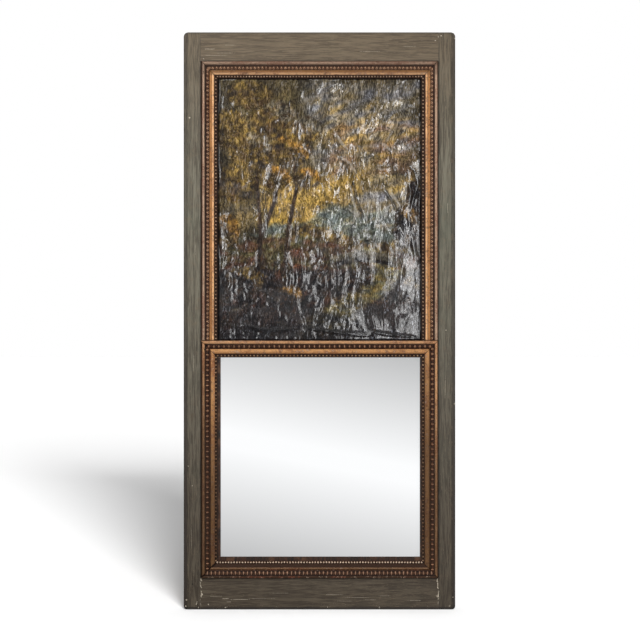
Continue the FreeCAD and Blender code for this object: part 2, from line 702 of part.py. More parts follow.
def spread(low, high, count):
    """Middles of blocks along a run, the end ones in by the block margin."""
    first, last = f"({low} + block_margin)", f"({high} - block_margin)"
    return [f"({first} + {index} * ({last} - {first}) / {count - 1})" for index in range(count)]


def block_row(name, runs):
    """Blocks in the corner between a moulding's back and the frame."""
    blocks = []
    for x, z in runs:
        blocks.append(slab(f"{name}_{len(blocks)}", x, block_depth, z))
    sub_part(group(name, blocks), name)


def along(middle):
    return f"({middle} - block_length / 2)", f"({middle} + block_length / 2)"


def glue_blocks():
    right_edge = (f"({half_opening} - block_size)", half_opening)
    left_edge = (f"(0 - {half_opening})", f"(block_size - {half_opening})")
    sides = (left_edge, right_edge)
    picture_heights = spread(f"({canvas_bottom} + block_length)", opening_top, blocks_up_a_side)
    across = spread(f"(0 - {half_opening})", half_opening, 2)
    head = (f"({opening_top} - block_size)", opening_top)
    picture = [(side, along(height)) for side in sides for height in picture_heights]
    picture += [(along(middle), head) for middle in across]
    block_row("picture_glue_blocks", picture)

    mirror_heights = spread("bottom_rail_height", middle_rail_bottom, blocks_up_a_side)
    foot = ("bottom_rail_height", "(bottom_rail_height + block_size)")
    mirror = [(side, along(height)) for side in sides for height in mirror_heights]
    mirror += [(along(f"({share} * {half_opening})"), foot) for share in foot_block_shares]
    block_row("mirror_glue_blocks", mirror)
    keeper_nails("stretcher_nails", picture_heights, across)


def keeper_nails(label, heights, across):
    """Headless nails, driven into the glue blocks, that lie over the stretcher's back."""
    depth = f"({bar_back} + keeper_gap + keeper_radius)"
    root = f"({half_opening} - block_size + keeper_in_block)"
    tip = f"({bar_side} - keeper_over_bar)"
    nails = []
    for height in heights:
        for side, turn in ((1, along_minus_x), (-1, along_x)):
            nails.append(rod(f"keeper_{len(nails)}", "keeper_radius", f"{root} - {tip}",
                             f"({side}) * {root}", depth, height, turn))
    top_root = f"({opening_top} - block_size + keeper_in_block)"
    top_tip = f"({bar_top} - keeper_over_bar)"
    for middle in across:
        nails.append(rod(f"keeper_{len(nails)}", "keeper_radius", f"{top_root} - {top_tip}",
                         middle, depth, top_root, downwards))
    sub_part(group(label, nails), label)


# ---- hangers ------------------------------------------------------------------------

pivot_depth = f"({frame_back} + strap_thick + ring_clearance + ring_wire_radius + ring_running_gap)"
eye_radius = "(ring_wire_radius + ring_running_gap)"


def screw_heights():
    return [f"(hanger_height - screw_first - {index} * screw_pitch)" for index in range(2)]


def hanger_strap(label, middle):
    """Strap with an eye rolled at its top, which the ring turns in."""
    edges = (f"({middle} - strap_width / 2)", f"({middle} + strap_width / 2)")
    plate = slab(f"{label}_plate", edges, (frame_back, f"{frame_back} + strap_thick"),
                 ("hanger_height - strap_length", "hanger_height + strap_top"))
    eye = rod(f"{label}_eye", f"{eye_radius} + strap_thick", "strap_width",
              edges[0], pivot_depth, "hanger_height", along_x)
    bore = rod(f"{label}_bore", eye_radius, "2 * strap_width",
               f"{edges[0]} - strap_width / 2", pivot_depth, "hanger_height", along_x)
    holes = [rod(f"{label}_hole_{index}", "screw_radius + screw_hole_gap", "3 * strap_thick",
                 middle, f"{frame_back} - strap_thick", height, along_y)
             for index, height in enumerate(screw_heights())]
    sub_part(difference(label, union(f"{label}_metal", [plate, eye]), [bore] + holes), label)


def hanger_ring(label, middle):
    """D-shaped wire ring: a straight bar in the eye, two legs and a half-round bend."""
    wire = "ring_wire_radius"
    bar = rod(f"{label}_bar", wire, "2 * ring_bend_radius", f"{middle} - ring_bend_radius",
              pivot_depth, "hanger_height", along_x)
    pieces = [bar]
    for side in (-1, 1):
        x = f"{middle} + ({side}) * ring_bend_radius"
        pieces.append(rod(f"{label}_leg_{side + 1}", wire, "ring_leg", x, pivot_depth,
                          "hanger_height - ring_leg"))
        corner = doc.addObject("Part::Sphere", f"{label}_corner_{side + 1}")
        corner.setExpression("Radius", cell(wire))
        pieces.append(place(corner, x, pivot_depth, "hanger_height"))
    bend = doc.addObject("Part::Torus", f"{label}_bend")
    bend.setExpression("Radius1", cell("ring_bend_radius"))
    bend.setExpression("Radius2", cell(wire))
    bend.Angle3 = 180
    pieces.append(place(bend, middle, pivot_depth, "hanger_height - ring_leg", along_y))
    sub_part(union(label, pieces), label)


def hanger_screws(label, middle):
    screws = [nail(f"{label}_{index}", "screw_head_radius", "screw_head_thick", "screw_radius",
                   "screw_length", middle, f"{frame_back} + strap_thick", height, along_minus_y)
              for index, height in enumerate(screw_heights())]
    sub_part(group(label, screws), label)


# ---- the whole object ---------------------------------------------------------------

stile("stile_left", -1)
stile("stile_right", 1)
rail("top_rail", "top", opening_top, "frame_height")
rail("bottom_rail", "bottom", "0", "bottom_rail_height")
middle_rail("middle_rail")
tenon_pegs("tenon_pegs")
gilt_trim()
mirror_slips()
mirror_glass()
glass_wedges("glass_wedges")
mirror_boards()
canvas("canvas")
for upright_side, side_name in ((-1, "left"), (1, "right")):
    stretcher_upright(f"stretcher_{side_name}", upright_side)
stretcher_cross_member("stretcher_top", f"{bar_top} - bar_width", bar_top, bar_side)
stretcher_cross_member("stretcher_bottom", bar_bottom, f"{bar_bottom} + bar_width", bar_side)
stretcher_cross_member("stretcher_crossbar", f"{crossbar_middle} - crossbar_width / 2",
                       f"{crossbar_middle} + crossbar_width / 2",
                       f"({bar_inner} + crossbar_tongue)")
stretcher_keys("stretcher_keys")
canvas_tacks("canvas_tacks")
glue_blocks()
for hanger_side, side_name in ((-1, "left"), (1, "right")):
    hanger_middle = f"(({hanger_side}) * ({half_opening} + stile_width / 2))"
    hanger_strap(f"hanger_strap_{side_name}", hanger_middle)
    hanger_ring(f"hanger_ring_{side_name}", hanger_middle)
    hanger_screws(f"hanger_screws_{side_name}", hanger_middle)

doc.recompute()
for item in doc.Objects:
    if "Invalid" in item.State or "Error" in item.State:
        raise RuntimeError(f"{item.Label} is {item.State}")
for item in finished:
    if item.Shape.isNull() or not item.Shape.isValid() or not item.Shape.Solids:
        raise RuntimeError(f"{item.Label} has no sound solid")

os.makedirs("parts", exist_ok=True)
for item in finished:
    item.Shape.exportStep(f"parts/{item.Label}.step")
box = Part.makeCompound([item.Shape for item in finished]).BoundBox
print(f"{len(finished)} sub-parts, {box.XLength:.1f} x {box.YLength:.1f} x {box.ZLength:.1f} mm")
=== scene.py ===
import math

import bmesh
import bpy
import numpy as np
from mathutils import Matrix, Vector


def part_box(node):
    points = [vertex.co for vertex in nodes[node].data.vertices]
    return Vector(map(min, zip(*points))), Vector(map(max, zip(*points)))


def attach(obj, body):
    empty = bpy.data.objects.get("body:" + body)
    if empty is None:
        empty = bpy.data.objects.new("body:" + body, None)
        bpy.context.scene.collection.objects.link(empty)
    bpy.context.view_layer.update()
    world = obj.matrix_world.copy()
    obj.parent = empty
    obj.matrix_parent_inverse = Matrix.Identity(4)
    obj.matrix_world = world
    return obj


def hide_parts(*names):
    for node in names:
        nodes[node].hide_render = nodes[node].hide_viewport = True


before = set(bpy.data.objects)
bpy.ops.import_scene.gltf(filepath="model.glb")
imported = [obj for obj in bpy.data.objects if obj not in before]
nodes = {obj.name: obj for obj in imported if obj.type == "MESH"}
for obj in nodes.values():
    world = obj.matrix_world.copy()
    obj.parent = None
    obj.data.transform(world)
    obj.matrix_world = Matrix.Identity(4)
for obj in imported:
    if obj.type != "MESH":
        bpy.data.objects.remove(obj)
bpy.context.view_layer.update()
print("frame loaded,", len(nodes), "pieces")


# node trees: a wire is one output, and arithmetic on it adds Math nodes

def parted(code):
    # the red, green and blue of a written colour, such as #7a7969, from 0 to 1
    return np.array([int(code[i:i + 2], 16) / 255 for i in (1, 3, 5)])


def linear(shades):
    return np.where(shades <= 0.04045, shades / 12.92, ((shades + 0.055) / 1.055) ** 2.4)


def tone(code):
    # a written colour as a socket wants it
    return (*linear(parted(code)), 1.0)


def arithmetic(operation, reflected=False):
    def worked(wire, *others):
        values = (*others, wire) if reflected else (wire, *others)
        return wire.tree.add("ShaderNodeMath", {"operation": operation}, values)
    return worked


class Wire:
    def __init__(self, tree, socket):
        self.tree = tree
        self.socket = socket

    __add__ = __radd__ = arithmetic("ADD")
    __sub__ = arithmetic("SUBTRACT")
    __rsub__ = arithmetic("SUBTRACT", True)
    __mul__ = __rmul__ = arithmetic("MULTIPLY")
    __truediv__ = arithmetic("DIVIDE")
    __rtruediv__ = arithmetic("DIVIDE", True)
    __pow__ = arithmetic("POWER")
    __abs__ = arithmetic("ABSOLUTE")
    most = arithmetic("MAXIMUM")
    least = arithmetic("MINIMUM")
    sine = arithmetic("SINE")

    def __neg__(self):
        return self * -1.0

    def past(self, low, high):
        # 0 before low, 1 past high, smooth between them
        ends = {"Value": self, "From Min": low, "From Max": high}
        return self.tree.add("ShaderNodeMapRange", {"interpolation_type": "SMOOTHSTEP"}, ends)

    def between(self, low, high, soft):
        # 1 from low to high, with soft ends
        return self.past(low - soft, low + soft) * self.past(high + soft, high - soft)


class Tree:
    def __init__(self, nodeTree):
        self.nodeTree = nodeTree

    def add(self, kind, settings=None, sockets=(), out=0):
        node = self.nodeTree.nodes.new(kind)
        for name, value in (settings or {}).items():
            setattr(node, name, value)
        pairs = sockets.items() if isinstance(sockets, dict) else enumerate(sockets)
        for key, value in pairs:
            if isinstance(value, Wire):
                self.nodeTree.links.new(value.socket, node.inputs[key])
            elif isinstance(value, str):
                node.inputs[key].default_value = tone(value)
            elif value is not None:
                node.inputs[key].default_value = value
        return Wire(self, node.outputs[out])


class Finish(Tree):
    # a material with its surface shader, and the patterns that finishes share
    def __init__(self, name, fixed=None):
        self.material = bpy.data.materials.new(name)
        self.material.use_nodes = True
        Tree.__init__(self, self.material.node_tree)
        self.nodeTree.nodes.clear()
        self.surface = self.nodeTree.nodes.new("ShaderNodeBsdfPrincipled")
        output = self.nodeTree.nodes.new("ShaderNodeOutputMaterial")
        self.nodeTree.links.new(self.surface.outputs[0], output.inputs["Surface"])
        for socket, value in (fixed or {}).items():
            self.surface.inputs[socket].default_value = value
        self.colour = None
        self.place = self.add("ShaderNodeTexCoord", out="Object")
        self.x, self.y, self.z = self.parts(self.place)

    def parts(self, vector):
        first = self.add("ShaderNodeSeparateXYZ", None, [vector])
        return [Wire(self, output) for output in first.socket.node.outputs]

    def stretch(self, scale, vector=None):
        return self.add("ShaderNodeMapping", None, {"Vector": vector or self.place, "Scale": scale})

    def noise(self, scale=1.0, detail=4.0, roughness=0.55, distortion=0.0, vector=None):
        sizes = {"Scale": scale, "Detail": detail, "Roughness": roughness, "Distortion": distortion}
        return self.add("ShaderNodeTexNoise", None, {"Vector": vector or self.place, **sizes})

    def drawn(self, scale, *sizes, vector=None):
        # noise at a scale of its own along each axis
        return self.noise(1.0, *sizes, vector=self.stretch(scale, vector))

    def cells(self, scale, feature="F1"):
        return self.add("ShaderNodeTexVoronoi", {"feature": feature},
                        {"Vector": self.stretch(scale), "Scale": 1.0}, "Distance")

    def shifted(self, vector, amount):
        return self.add("ShaderNodeVectorMath", {"operation": "ADD"}, [vector, amount])

    def mix(self, mask, first, second):
        return self.add("ShaderNodeMix", {"data_type": "RGBA"}, {0: mask, 6: first, 7: second}, 2)

    def over(self, mask, tint):
        # one more layer on the colour that is being built up
        self.colour = self.mix(mask, self.colour, tint)

    def attribute(self, name, out="Fac"):
        return self.add("ShaderNodeAttribute", {"attribute_name": name}, (), out)

    def bump(self, height, distance):
        return self.add("ShaderNodeBump", None, {"Height": height, "Distance": distance, "Strength": 1.0})

    def use(self, **values):
        names = {"roughness": "Roughness", "metallic": "Metallic", "normal": "Normal",
                 "coat": "Coat Weight"}
        self.nodeTree.links.new(self.colour.socket, self.surface.inputs["Base Color"])
        for key, value in values.items():
            self.nodeTree.links.new(value.socket, self.surface.inputs[names[key]])
        return self.material


# meshes

def placed(name, data):
    thing = bpy.data.objects.new(name, data)
    bpy.context.scene.collection.objects.link(thing)
    return thing


def newPiece(name, points, faces, materials):
    mesh = bpy.data.meshes.new(name)
    mesh.from_pydata([tuple(p) for p in points], [], [tuple(f) for f in faces])
    for material in materials:
        mesh.materials.append(material)
    mesh.polygons.foreach_set("use_smooth", [True] * len(mesh.polygons))
    mesh.update()
    return placed(name, mesh)


def plainMesh(piece):
    # the modifiers' result becomes the piece's own mesh
    bpy.context.view_layer.update()
    seen = piece.evaluated_get(bpy.context.evaluated_depsgraph_get())
    made = bpy.data.meshes.new_from_object(seen)
    piece.modifiers.clear()
    piece.data = made
    return piece


def hand(piece, body, slotName, *replaced):
    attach(piece, body)
    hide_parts(*replaced)
    return piece


def easedCopy(nodeName, arris, material, slotName):
    # a construction piece with its arrises taken off by hand; the new faces carry "arris" = 1
    shape = bmesh.new()
    shape.from_mesh(nodes[nodeName].data)
    bmesh.ops.remove_doubles(shape, verts=shape.verts, dist=1e-6)
    bmesh.ops.dissolve_limit(shape, angle_limit=0.02, verts=shape.verts, edges=shape.edges)
    sharp = [e for e in shape.edges if len(e.link_faces) == 2 and e.calc_face_angle() > 0.7]
    made = bmesh.ops.bevel(shape, geom=sharp, offset=arris, segments=2, profile=0.5,
                           affect="EDGES", clamp_overlap=True)
    worn = shape.loops.layers.float.new("arris")
    for face in made["faces"]:
        for loop in face.loops:
            loop[worn] = 1.0
    for face in shape.faces:
        face.smooth = True
    for edge in shape.edges:
        edge.smooth = len(edge.link_faces) == 2 and edge.calc_face_angle() < 0.7
    mesh = bpy.data.meshes.new(nodeName + "_eased")
    shape.to_mesh(mesh)
    shape.free()
    mesh.materials.clear()
    mesh.materials.append(material)
    piece = placed(nodeName + "_eased", mesh)
    evened = piece.modifiers.new("evened", "WEIGHTED_NORMAL")
    evened.keep_sharp = True
    return hand(plainMesh(piece), "frame", slotName, nodeName)


# old grey-green oil paint, brushed along the grain

paintValues = {
    "pale": "#7b7665", "dull": "#514a3c", "green": "#555849", "warm": "#78664f",
    "head": ("#4a3d2d", "#6e5d47"), "grime_and_shade": ("#362c22", "#564b3d"), "dirt": "#29231d",
    "chip": "#cfc3ae", "undercoat": "#93806a", "base": "#1d1915", "bead": "#342c25", "ends": "#3a342b",
    "hole": "#0d0b09", "acrossGrain": 400.0, "alongGrain": 24.0, "footStart": 1.02, "footEnd": 0.10,
    "arris": 0.0009, "top": 1.4495, "stileEdge": 0.3022, "railTop": 0.0792, "railFoot": 1.3782,
}

stileMarks = {  # x, z and radius in mm of the chips that show the ground
    "stile_left": [(-308.5, 14, 2.2), (-307.8, 18, 1.8), (-333.9, 24, 1.8), (-327.1, 1235, 2.4),
                   (-329.6, 360, 1.6), (-319.5, 311, 1.5), (-336.0, 8, 1.8), (-304.0, 5, 1.6)],
    "stile_right": [(339.1, 517, 1.8), (340.4, 1435, 2.2), (306.4, 1441, 2.0), (327.0, 9, 2.0),
                    (318.0, 702, 1.2), (336.0, 31, 1.6)],
    "top_rail": [(298.9, 1438.7, 2.2), (291.0, 1429, 1.6), (-291.0, 1384, 1.4)],
    "bottom_rail": [(-294.9, 37.7, 2.4), (-296.9, 72.7, 2.2), (-279.0, 12, 1.6), (-236.0, 5, 1.5),
                    (296.0, 34.0, 2.4), (150.0, 5, 1.6), (20.0, 6, 1.4)],
}
stileScratches = {  # x and z of the middle, length and width in mm, and strength
    "stile_left": [(-316, 620, 1.0, 46, 0.5), (-311, 905, 1.2, 30, 0.5), (-322, 180, 1.0, 60, 0.4)],
    "stile_right": [(316, 560, 1.0, 50, 0.5), (322, 1010, 1.2, 26, 0.5)],
    "top_rail": [(-276, 1408, 26, 1.3, 0.7), (-262, 1392, 60, 1.0, 0.5), (-238, 1398, 44, 1.0, 0.5),
                 (-224, 1418, 26, 1.0, 0.5), (130, 1402, 54, 1.0, 0.5), (226, 1414, 30, 1.0, 0.5)],
    "bottom_rail": [(-200, 25, 46, 1.3, 0.7), (-236, 27, 16, 1.6, 0.7), (-228, 19, 12, 1.4, 0.6),
                    (-262, 33, 30, 1.0, 0.4), (94, 30, 60, 1.0, 0.5), (238, 22, 36, 1.2, 0.6),
                    (-148, 27, 58, 1.0, 0.45), (36, 37, 44, 1.0, 0.5), (62, 21, 40, 1.0, 0.45),
                    (-100, 41, 50, 0.9, 0.4), (164, 34, 30, 1.0, 0.5), (128, 24, 26, 1.2, 0.5)],
}
nailHole = (-318.8, 63.2, 1.9)


def spot(finish, mark, ragged):
    # 1 within a ragged patch about a point of the front
    across, up, radius = (value / 1000 for value in mark)
    dx, dz = finish.x - across, finish.z - up
    gap = (dx * dx + dz * dz) ** 0.5 + (ragged - 0.5) * radius * 5.0
    return gap.past(radius * 0.95, radius * 0.7)


def scratch(finish, mark, ragged):
    # 1 along a thin broken line, level or upright
    across, up, wide, tall = (value / 1000 for value in mark[:4])
    dx = abs(finish.x - across) / (wide / 2)
    dz = abs(finish.z - up) / (tall / 2)
    return (dx.most(dz) + (ragged - 0.5) * 3.0).past(1.1, 0.6) * mark[4]


def paintedWood(name, upright, marks, scratches, hole=None):
    p = paintValues
    finish = Finish(name, {"Specular IOR Level": 0.38})
    grain = [p["acrossGrain"]] * 3
    grain[2 if upright else 0] = p["alongGrain"]
    brush = finish.drawn(grain, 5.0, 0.6)
    hair = finish.drawn([g * 3.1 for g in grain], 3.0, 0.6)
    swathe = finish.drawn([g * 0.42 for g in grain], 5.0, 0.66, 0.8)
    cloud = finish.noise(7.0, 4.0)
    mottle = finish.noise(46.0, 4.0, 0.6)
    ragged = finish.noise(420.0, 5.0, 0.7)
    finish.colour = finish.mix((brush * 0.4 + swathe * 0.6).past(0.41, 0.60), p["dull"], p["pale"])
    finish.over(cloud.past(0.45, 0.7) * 0.55, p["green"])
    finish.over(mottle.past(0.52, 0.75) * 0.4, p["warm"])
    if not upright:
        finish.over(0.42, p["warm"])
    drawn = (brush * 0.5 + swathe * 0.5).past(0.42, 0.58)
    # darker and browner towards the foot: painted shade where the light falls off, and grime
    foot = finish.z.past(p["footStart"], p["footEnd"])
    finish.over(foot * (0.66 + mottle * 0.34), finish.mix(drawn, *p["grime_and_shade"]))
    # darker towards the top: painted shade where the light falls off
    head = (finish.z + (cloud - 0.5) * 0.3).past(1.02, 1.44)
    finish.over(head * 0.66, finish.mix(drawn, *p["head"]))
    # hair scratches along the grain, and grime rubbed into the brush marks
    scored = hair.past(0.61, 0.68) * cloud.past(0.38, 0.56)
    finish.over(scored * 0.55, p["undercoat"])
    finish.over((hair * 0.5 + swathe * 0.5).past(0.42, 0.33) * 0.5, p["dirt"])
    far = abs(finish.x)
    if upright:  # the outer bead is handled most, and its quirk holds dirt
        finish.over(far.past(0.3330, 0.3350) * (0.5 + foot * 0.45), p["bead"])
        finish.over(far.between(0.3319, 0.3338, 0.0004) * 0.8, p["dirt"])
        finish.over(far.past(p["stileEdge"], p["stileEdge"] - 0.003) * 0.45, p["dirt"])
        ends = finish.z.past(p["top"] - 0.0075, p["top"])
    else:
        lowEdge = finish.z.past(p["railTop"] - 0.0037, p["railTop"]) * finish.z.past(0.12, 0.1)
        highEdge = finish.z.past(p["railFoot"] + 0.0033, p["railFoot"]) * finish.z.past(1.2, 1.3)
        finish.over((lowEdge + highEdge) * 0.5, p["dirt"])
        ends = finish.z.past(p["top"] - 0.0055, p["top"])
    finish.over(ends * 0.5, p["ends"])
    # the bottom edge is painted near black: painted shade where the frame stands on the floor
    base = (finish.z + (mottle - 0.5) * 0.006).past(0.0072, 0.0044)
    finish.over(base * 0.85, p["base"])
    arris = finish.attribute("arris")
    rubbed = arris * mottle.past(0.52, 0.62)
    finish.over(rubbed * 0.6, p["undercoat"])
    # the ground shows at the cracked joint and the listed marks
    wander = (mottle - 0.5) * 0.010 + (ragged - 0.5) * 0.003
    joint = (far + wander).between(0.2966, 0.2992, 0.0005)
    cracked = joint * finish.noise(130.0, 3.0).past(0.42, 0.52)
    cracked = cracked * finish.z.past(0.084, 0.076) * finish.z.past(0.004, 0.03)
    specks = ragged.past(0.62, 0.68) * finish.z.past(0.022, 0.006) * (1 - base)
    chips = cracked.most(specks * mottle.past(0.48, 0.6))
    for mark in marks:
        chips = chips.most(spot(finish, mark, ragged))
    for mark in scratches:
        chips = chips.most(scratch(finish, mark, ragged))
    chips = chips * finish.y.past(0.0, -0.012)
    finish.over(chips, p["chip"])
    height = brush * 0.4 + swathe * 0.5 + hair * 0.35 + mottle * 0.3 - chips * 0.9
    if hole:
        pit = spot(finish, hole, ragged)
        finish.over(pit * 0.95, p["hole"])
        height = height - pit * 3.0
    # the back was never painted
    behind = (finish.y + (mottle - 0.5) * 0.006).past(0.0115, 0.0135)
    painted = finish.colour
    timber(finish, upright, "#8a6847", "#5c4029")
    finish.colour = finish.mix(behind, painted, finish.colour)
    roughness = 0.46 + brush * 0.16 + behind * 0.25 + chips * 0.2
    return finish.use(roughness=roughness, normal=finish.bump(height, 0.0007))


def timber(finish, upright, light, dark):
    # sawn boards: rings run along the grain and part round a few knots
    scale = [190.0, 190.0, 190.0]
    scale[2 if upright else 0] = 4.0
    near = finish.cells([9.0, 3.0, 2.6] if upright else [2.6, 3.0, 9.0])
    knot = near.past(0.085, 0.045)
    pull = near.past(0.26, 0.06)
    rings = finish.noise(1.0, 4.0, 0.6, 0.4, finish.shifted(finish.stretch(scale), pull * 2.6))
    pores = finish.drawn([s * 4.5 for s in scale], 2.0, 0.5)
    stain = finish.noise(9.0, 5.0, 0.6)
    finish.colour = finish.mix(rings.past(0.35, 0.65), dark, light)
    finish.over(pores.past(0.42, 0.3) * 0.5, "#2b1d13")
    finish.over(knot * 0.85, "#2e1c10")
    finish.over(stain.past(0.5, 0.72) * 0.5, "#5f4a38")


def bareTimber(name, upright, light, dark):
    finish = Finish(name, {"Specular IOR Level": 0.2})
    timber(finish, upright, light, dark)
    mottle = finish.noise(60.0, 4.0, 0.6)
    saw = finish.drawn((900.0, 900.0, 30.0) if upright else (30.0, 900.0, 900.0), 2.0)
    finish.over(mottle.past(0.5, 0.7) * 0.25, "#8d8272")  # dust
    finish.over(finish.attribute("arris") * 0.4, light)
    roughness = 0.74 + mottle * 0.2
    return finish.use(roughness=roughness, normal=finish.bump(saw + mottle * 0.6, 0.0005))


for nodeName in ("stile_left", "stile_right", "top_rail", "bottom_rail"):
    material = paintedWood("painted_" + nodeName, nodeName.startswith("stile"), stileMarks[nodeName],
                           stileScratches[nodeName], nailHole if nodeName == "stile_left" else None)
    easedCopy(nodeName, paintValues["arris"], material, "painted_wood")
print("painted frame made")


# the gilt mouldings, mitred; sizes in mm across (u) and back from the front

profileValues = {
    "front": -25.0, "station": 3.0, "waver": 0.22, "nicks": 26, "seed": 7, "mitreGap": 0.00012,
    "wide": 42.0, "back": 26.0, "step": 13.0, "quirk": 5.0, "beadSpring": 4.0, "seatTop": 6.0,
    "seatFall": 3.5, "hollowFall": 3.5, "filletBack": 11.0, "coveBack": 12.0, "coveFall": 2.6,
    "pearlSeat": 15.0, "pearlEdge": 1.6, "lip": 18.0, "rebate": 34.0,
}
sectionValues = {  # where each part of the section ends, across; the members were cut and set unevenly
    "picture_left": {"gap": 4.4, "bead": 11.6, "seat": 12.6, "leaf": 22.0, "hollow": 29.0, "fillet": 34.2},
    "picture_right": {"gap": 1.9, "bead": 10.0, "seat": 11.0, "leaf": 20.2, "hollow": 27.3, "fillet": 32.6},
    "picture_top": {"gap": 1.4, "bead": 11.2, "seat": 12.0, "leaf": 21.8, "hollow": 28.6, "fillet": 34.6},
    "mirror_left": {"gap": 4.2, "bead": 11.6, "seat": 12.6, "leaf": 22.2, "hollow": 25.8, "fillet": 36.4},
    "mirror_right": {"gap": 1.9, "bead": 9.8, "seat": 10.8, "leaf": 20.0, "hollow": 22.6, "fillet": 34.6},
    "mirror_top": {"gap": 0.3, "bead": 9.6, "seat": 10.4, "leaf": 19.6, "hollow": 21.8, "fillet": 33.4},
    "mirror_bottom": {"gap": 0.3, "bead": 5.4, "seat": 6.2, "leaf": 18.8, "hollow": 22.8, "fillet": 25.8,
                      "cove": 35.2, "rise": 0.8},
}
plainSection = {"gap": 0.0, "bead": 8.5, "seat": 9.5, "leaf": 19.0, "hollow": 26.0, "fillet": 31.0,
                "cove": 33.5}
sectionParts = ("gap", "bead", "seat", "leaf", "hollow", "fillet", "cove")


def sectionOf(nodeName):
    family, _, side = nodeName.split("_")
    return {"cove": None, "rise": profileValues["beadSpring"], **sectionValues[family + "_" + side]}


def sectionPoints(s):
    # across, back and whether there is an arris, clockwise from the outer back corner
    p = profileValues
    points = [(0.0, p["back"], 1), (0.0, p["step"], 1), (s["gap"], p["step"], 1), (s["gap"], p["quirk"], 0)]

    def run(first, last, spans, back, turned=lambda share: share, begin=1):
        # points from one part's end to the next; turned eases how far across each lies
        for i in range(begin, spans + 1):
            across = first + (last - first) * turned(i / spans)
            points.append((across, back(i / spans), i == spans))

    def quarter(share):
        return math.pi / 2 * share

    middle, half = (s["gap"] + s["bead"]) / 2, (s["bead"] - s["gap"]) / 2
    run(middle - half, middle + half, 8, lambda t: p["beadSpring"] - s["rise"] * math.sin(math.pi * t),
        lambda t: (1 - math.cos(math.pi * t)) / 2, 0)
    points.append((s["bead"], p["seatTop"], 1))
    run(s["seat"], s["leaf"], 3, lambda t: p["seatTop"] + p["seatFall"] * t, begin=0)
    seatEnd = p["seatTop"] + p["seatFall"]
    run(s["leaf"], s["hollow"], 6, lambda t: seatEnd + p["hollowFall"] * math.sin(quarter(t)),
        lambda t: 1 - math.cos(quarter(t)))
    crown = 0.75 if s["fillet"] - s["hollow"] < 8 else 1.3
    run(s["hollow"], s["fillet"], 4, lambda t: p["filletBack"] - crown * math.sin(math.pi * t), begin=0)
    points[-5] = (*points[-5][:2], 1)  # the fillet starts at an arris too
    if s["cove"]:
        run(s["fillet"], s["cove"], 5, lambda t: p["coveBack"] + p["coveFall"] * math.sin(quarter(t)))
    inner, seat = s["cove"] or s["fillet"], p["pearlSeat"]
    return points + [(inner, seat, 1), (inner + p["pearlEdge"], seat, 0), (p["wide"], seat, 1),
                     (p["wide"], p["lip"], 1), (p["rebate"], p["lip"], 1), (p["rebate"], p["back"], 1)]


def evenAcross(s, across):
    # a place across a section, moved to where it lies on the plain section
    names = [name for name in sectionParts if s[name] is not None]
    ends, plain = ([-1.0] + [part[n] for n in names] + [profileValues["wide"]]
                   for part in (s, plainSection))
    return np.interp(across, ends, plain)


def runOf(nodeName):
    # where a member starts, how it is turned about Y, its length, and which ends are mitred
    low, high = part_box(nodeName)
    side = nodeName.rsplit("_", 1)[1]
    start = {"left": (low.x, low.z), "top": (low.x, high.z),
             "right": (high.x, high.z), "bottom": (high.x, low.z)}[side]
    turn = {"left": 0.0, "top": 90.0, "right": 180.0, "bottom": -90.0}[side]
    length = high.z - low.z if side in ("left", "right") else high.x - low.x
    butt = {"picture_moulding_left": (0, 1), "picture_moulding_right": (1, 0)}
    return {"start": start, "turn": math.radians(turn), "length": length,
            "mitred": butt.get(nodeName, (1, 1))}


def setOut(run, u, y, v):
    # a place on a run, from its own across, front-to-back and along to the frame's X, Y, Z
    c, s = math.cos(run["turn"]), math.sin(run["turn"])
    return (run["start"][0] + u * c + v * s, y, run["start"][1] - u * s + v * c)


def moulding(nodeName, material, seed):
    p = profileValues
    run, shape = runOf(nodeName), sectionOf(nodeName)
    rng = np.random.default_rng(p["seed"] + seed)
    section = np.array(sectionPoints(shape))
    stations = max(8, int(run["length"] * 1000 / p["station"]))
    share = np.linspace(0, 1, stations + 1)[:, None]
    u = np.repeat(section[None, :, 0] / 1000, stations + 1, 0)
    back = np.repeat(section[None, :, 1] / 1000, stations + 1, 0)
    startAt = u * run["mitred"][0] + p["mitreGap"]
    endAt = run["length"] - u * run["mitred"][1] - p["mitreGap"]
    v = startAt + (endAt - startAt) * share
    # the carver's hand: crests waver, and knocks flatten them here and there
    crest = np.clip(1 - back / 0.016, 0, 1)
    waver = sum(np.sin(v * k + rng.uniform(0, 6.3)) for k in (31.0, 73.0, 160.0)) / 3
    back = back + crest * waver * p["waver"] / 1000
    beadMiddle = (shape["gap"] + shape["bead"]) / 2
    filletMiddle = (shape["hollow"] + shape["fillet"]) / 2
    for _ in range(p["nicks"]):
        at = rng.uniform(0, run["length"])
        across = rng.choice([beadMiddle, beadMiddle, filletMiddle]) / 1000
        wide, deep = rng.uniform(0.0012, 0.004), rng.uniform(0.0003, 0.0013)
        reach = np.exp(-((v - at) / wide) ** 2 - ((u - across) / 0.003) ** 2)
        back = back + deep * reach * (back < 0.012)
    back = np.maximum(back, 0.00003)
    points, faces = [], []
    count = len(section)
    for i in range(stations + 1):
        for j in range(count):
            points.append(setOut(run, u[i, j], p["front"] / 1000 + back[i, j], v[i, j]))
    for i in range(stations):
        for j in range(count):
            k = (j + 1) % count
            faces.append((i * count + j, i * count + k, (i + 1) * count + k, (i + 1) * count + j))
    faces.append(tuple(reversed(range(count))))
    faces.append(tuple(range(stations * count, (stations + 1) * count)))
    piece = newPiece(nodeName + "_carved", points, faces, [material])
    # the section's own map: across in tenths of a metre, as on the plain section, and along in metres
    across = evenAcross(shape, u.ravel() * 1000) / 100
    layer = piece.data.uv_layers.new(name="run")
    index = np.empty(len(piece.data.loops), int)
    piece.data.loops.foreach_get("vertex_index", index)
    layer.data.foreach_set("uv", np.column_stack([across[index], v.ravel()[index]]).ravel())
    fixNormals(piece)
    for edge in piece.data.edges:
        a, b = (e % count for e in edge.vertices)
        edge.use_edge_sharp = a == b and bool(section[a, 2])
    return hand(piece, "frame", "gilt_wood", nodeName)


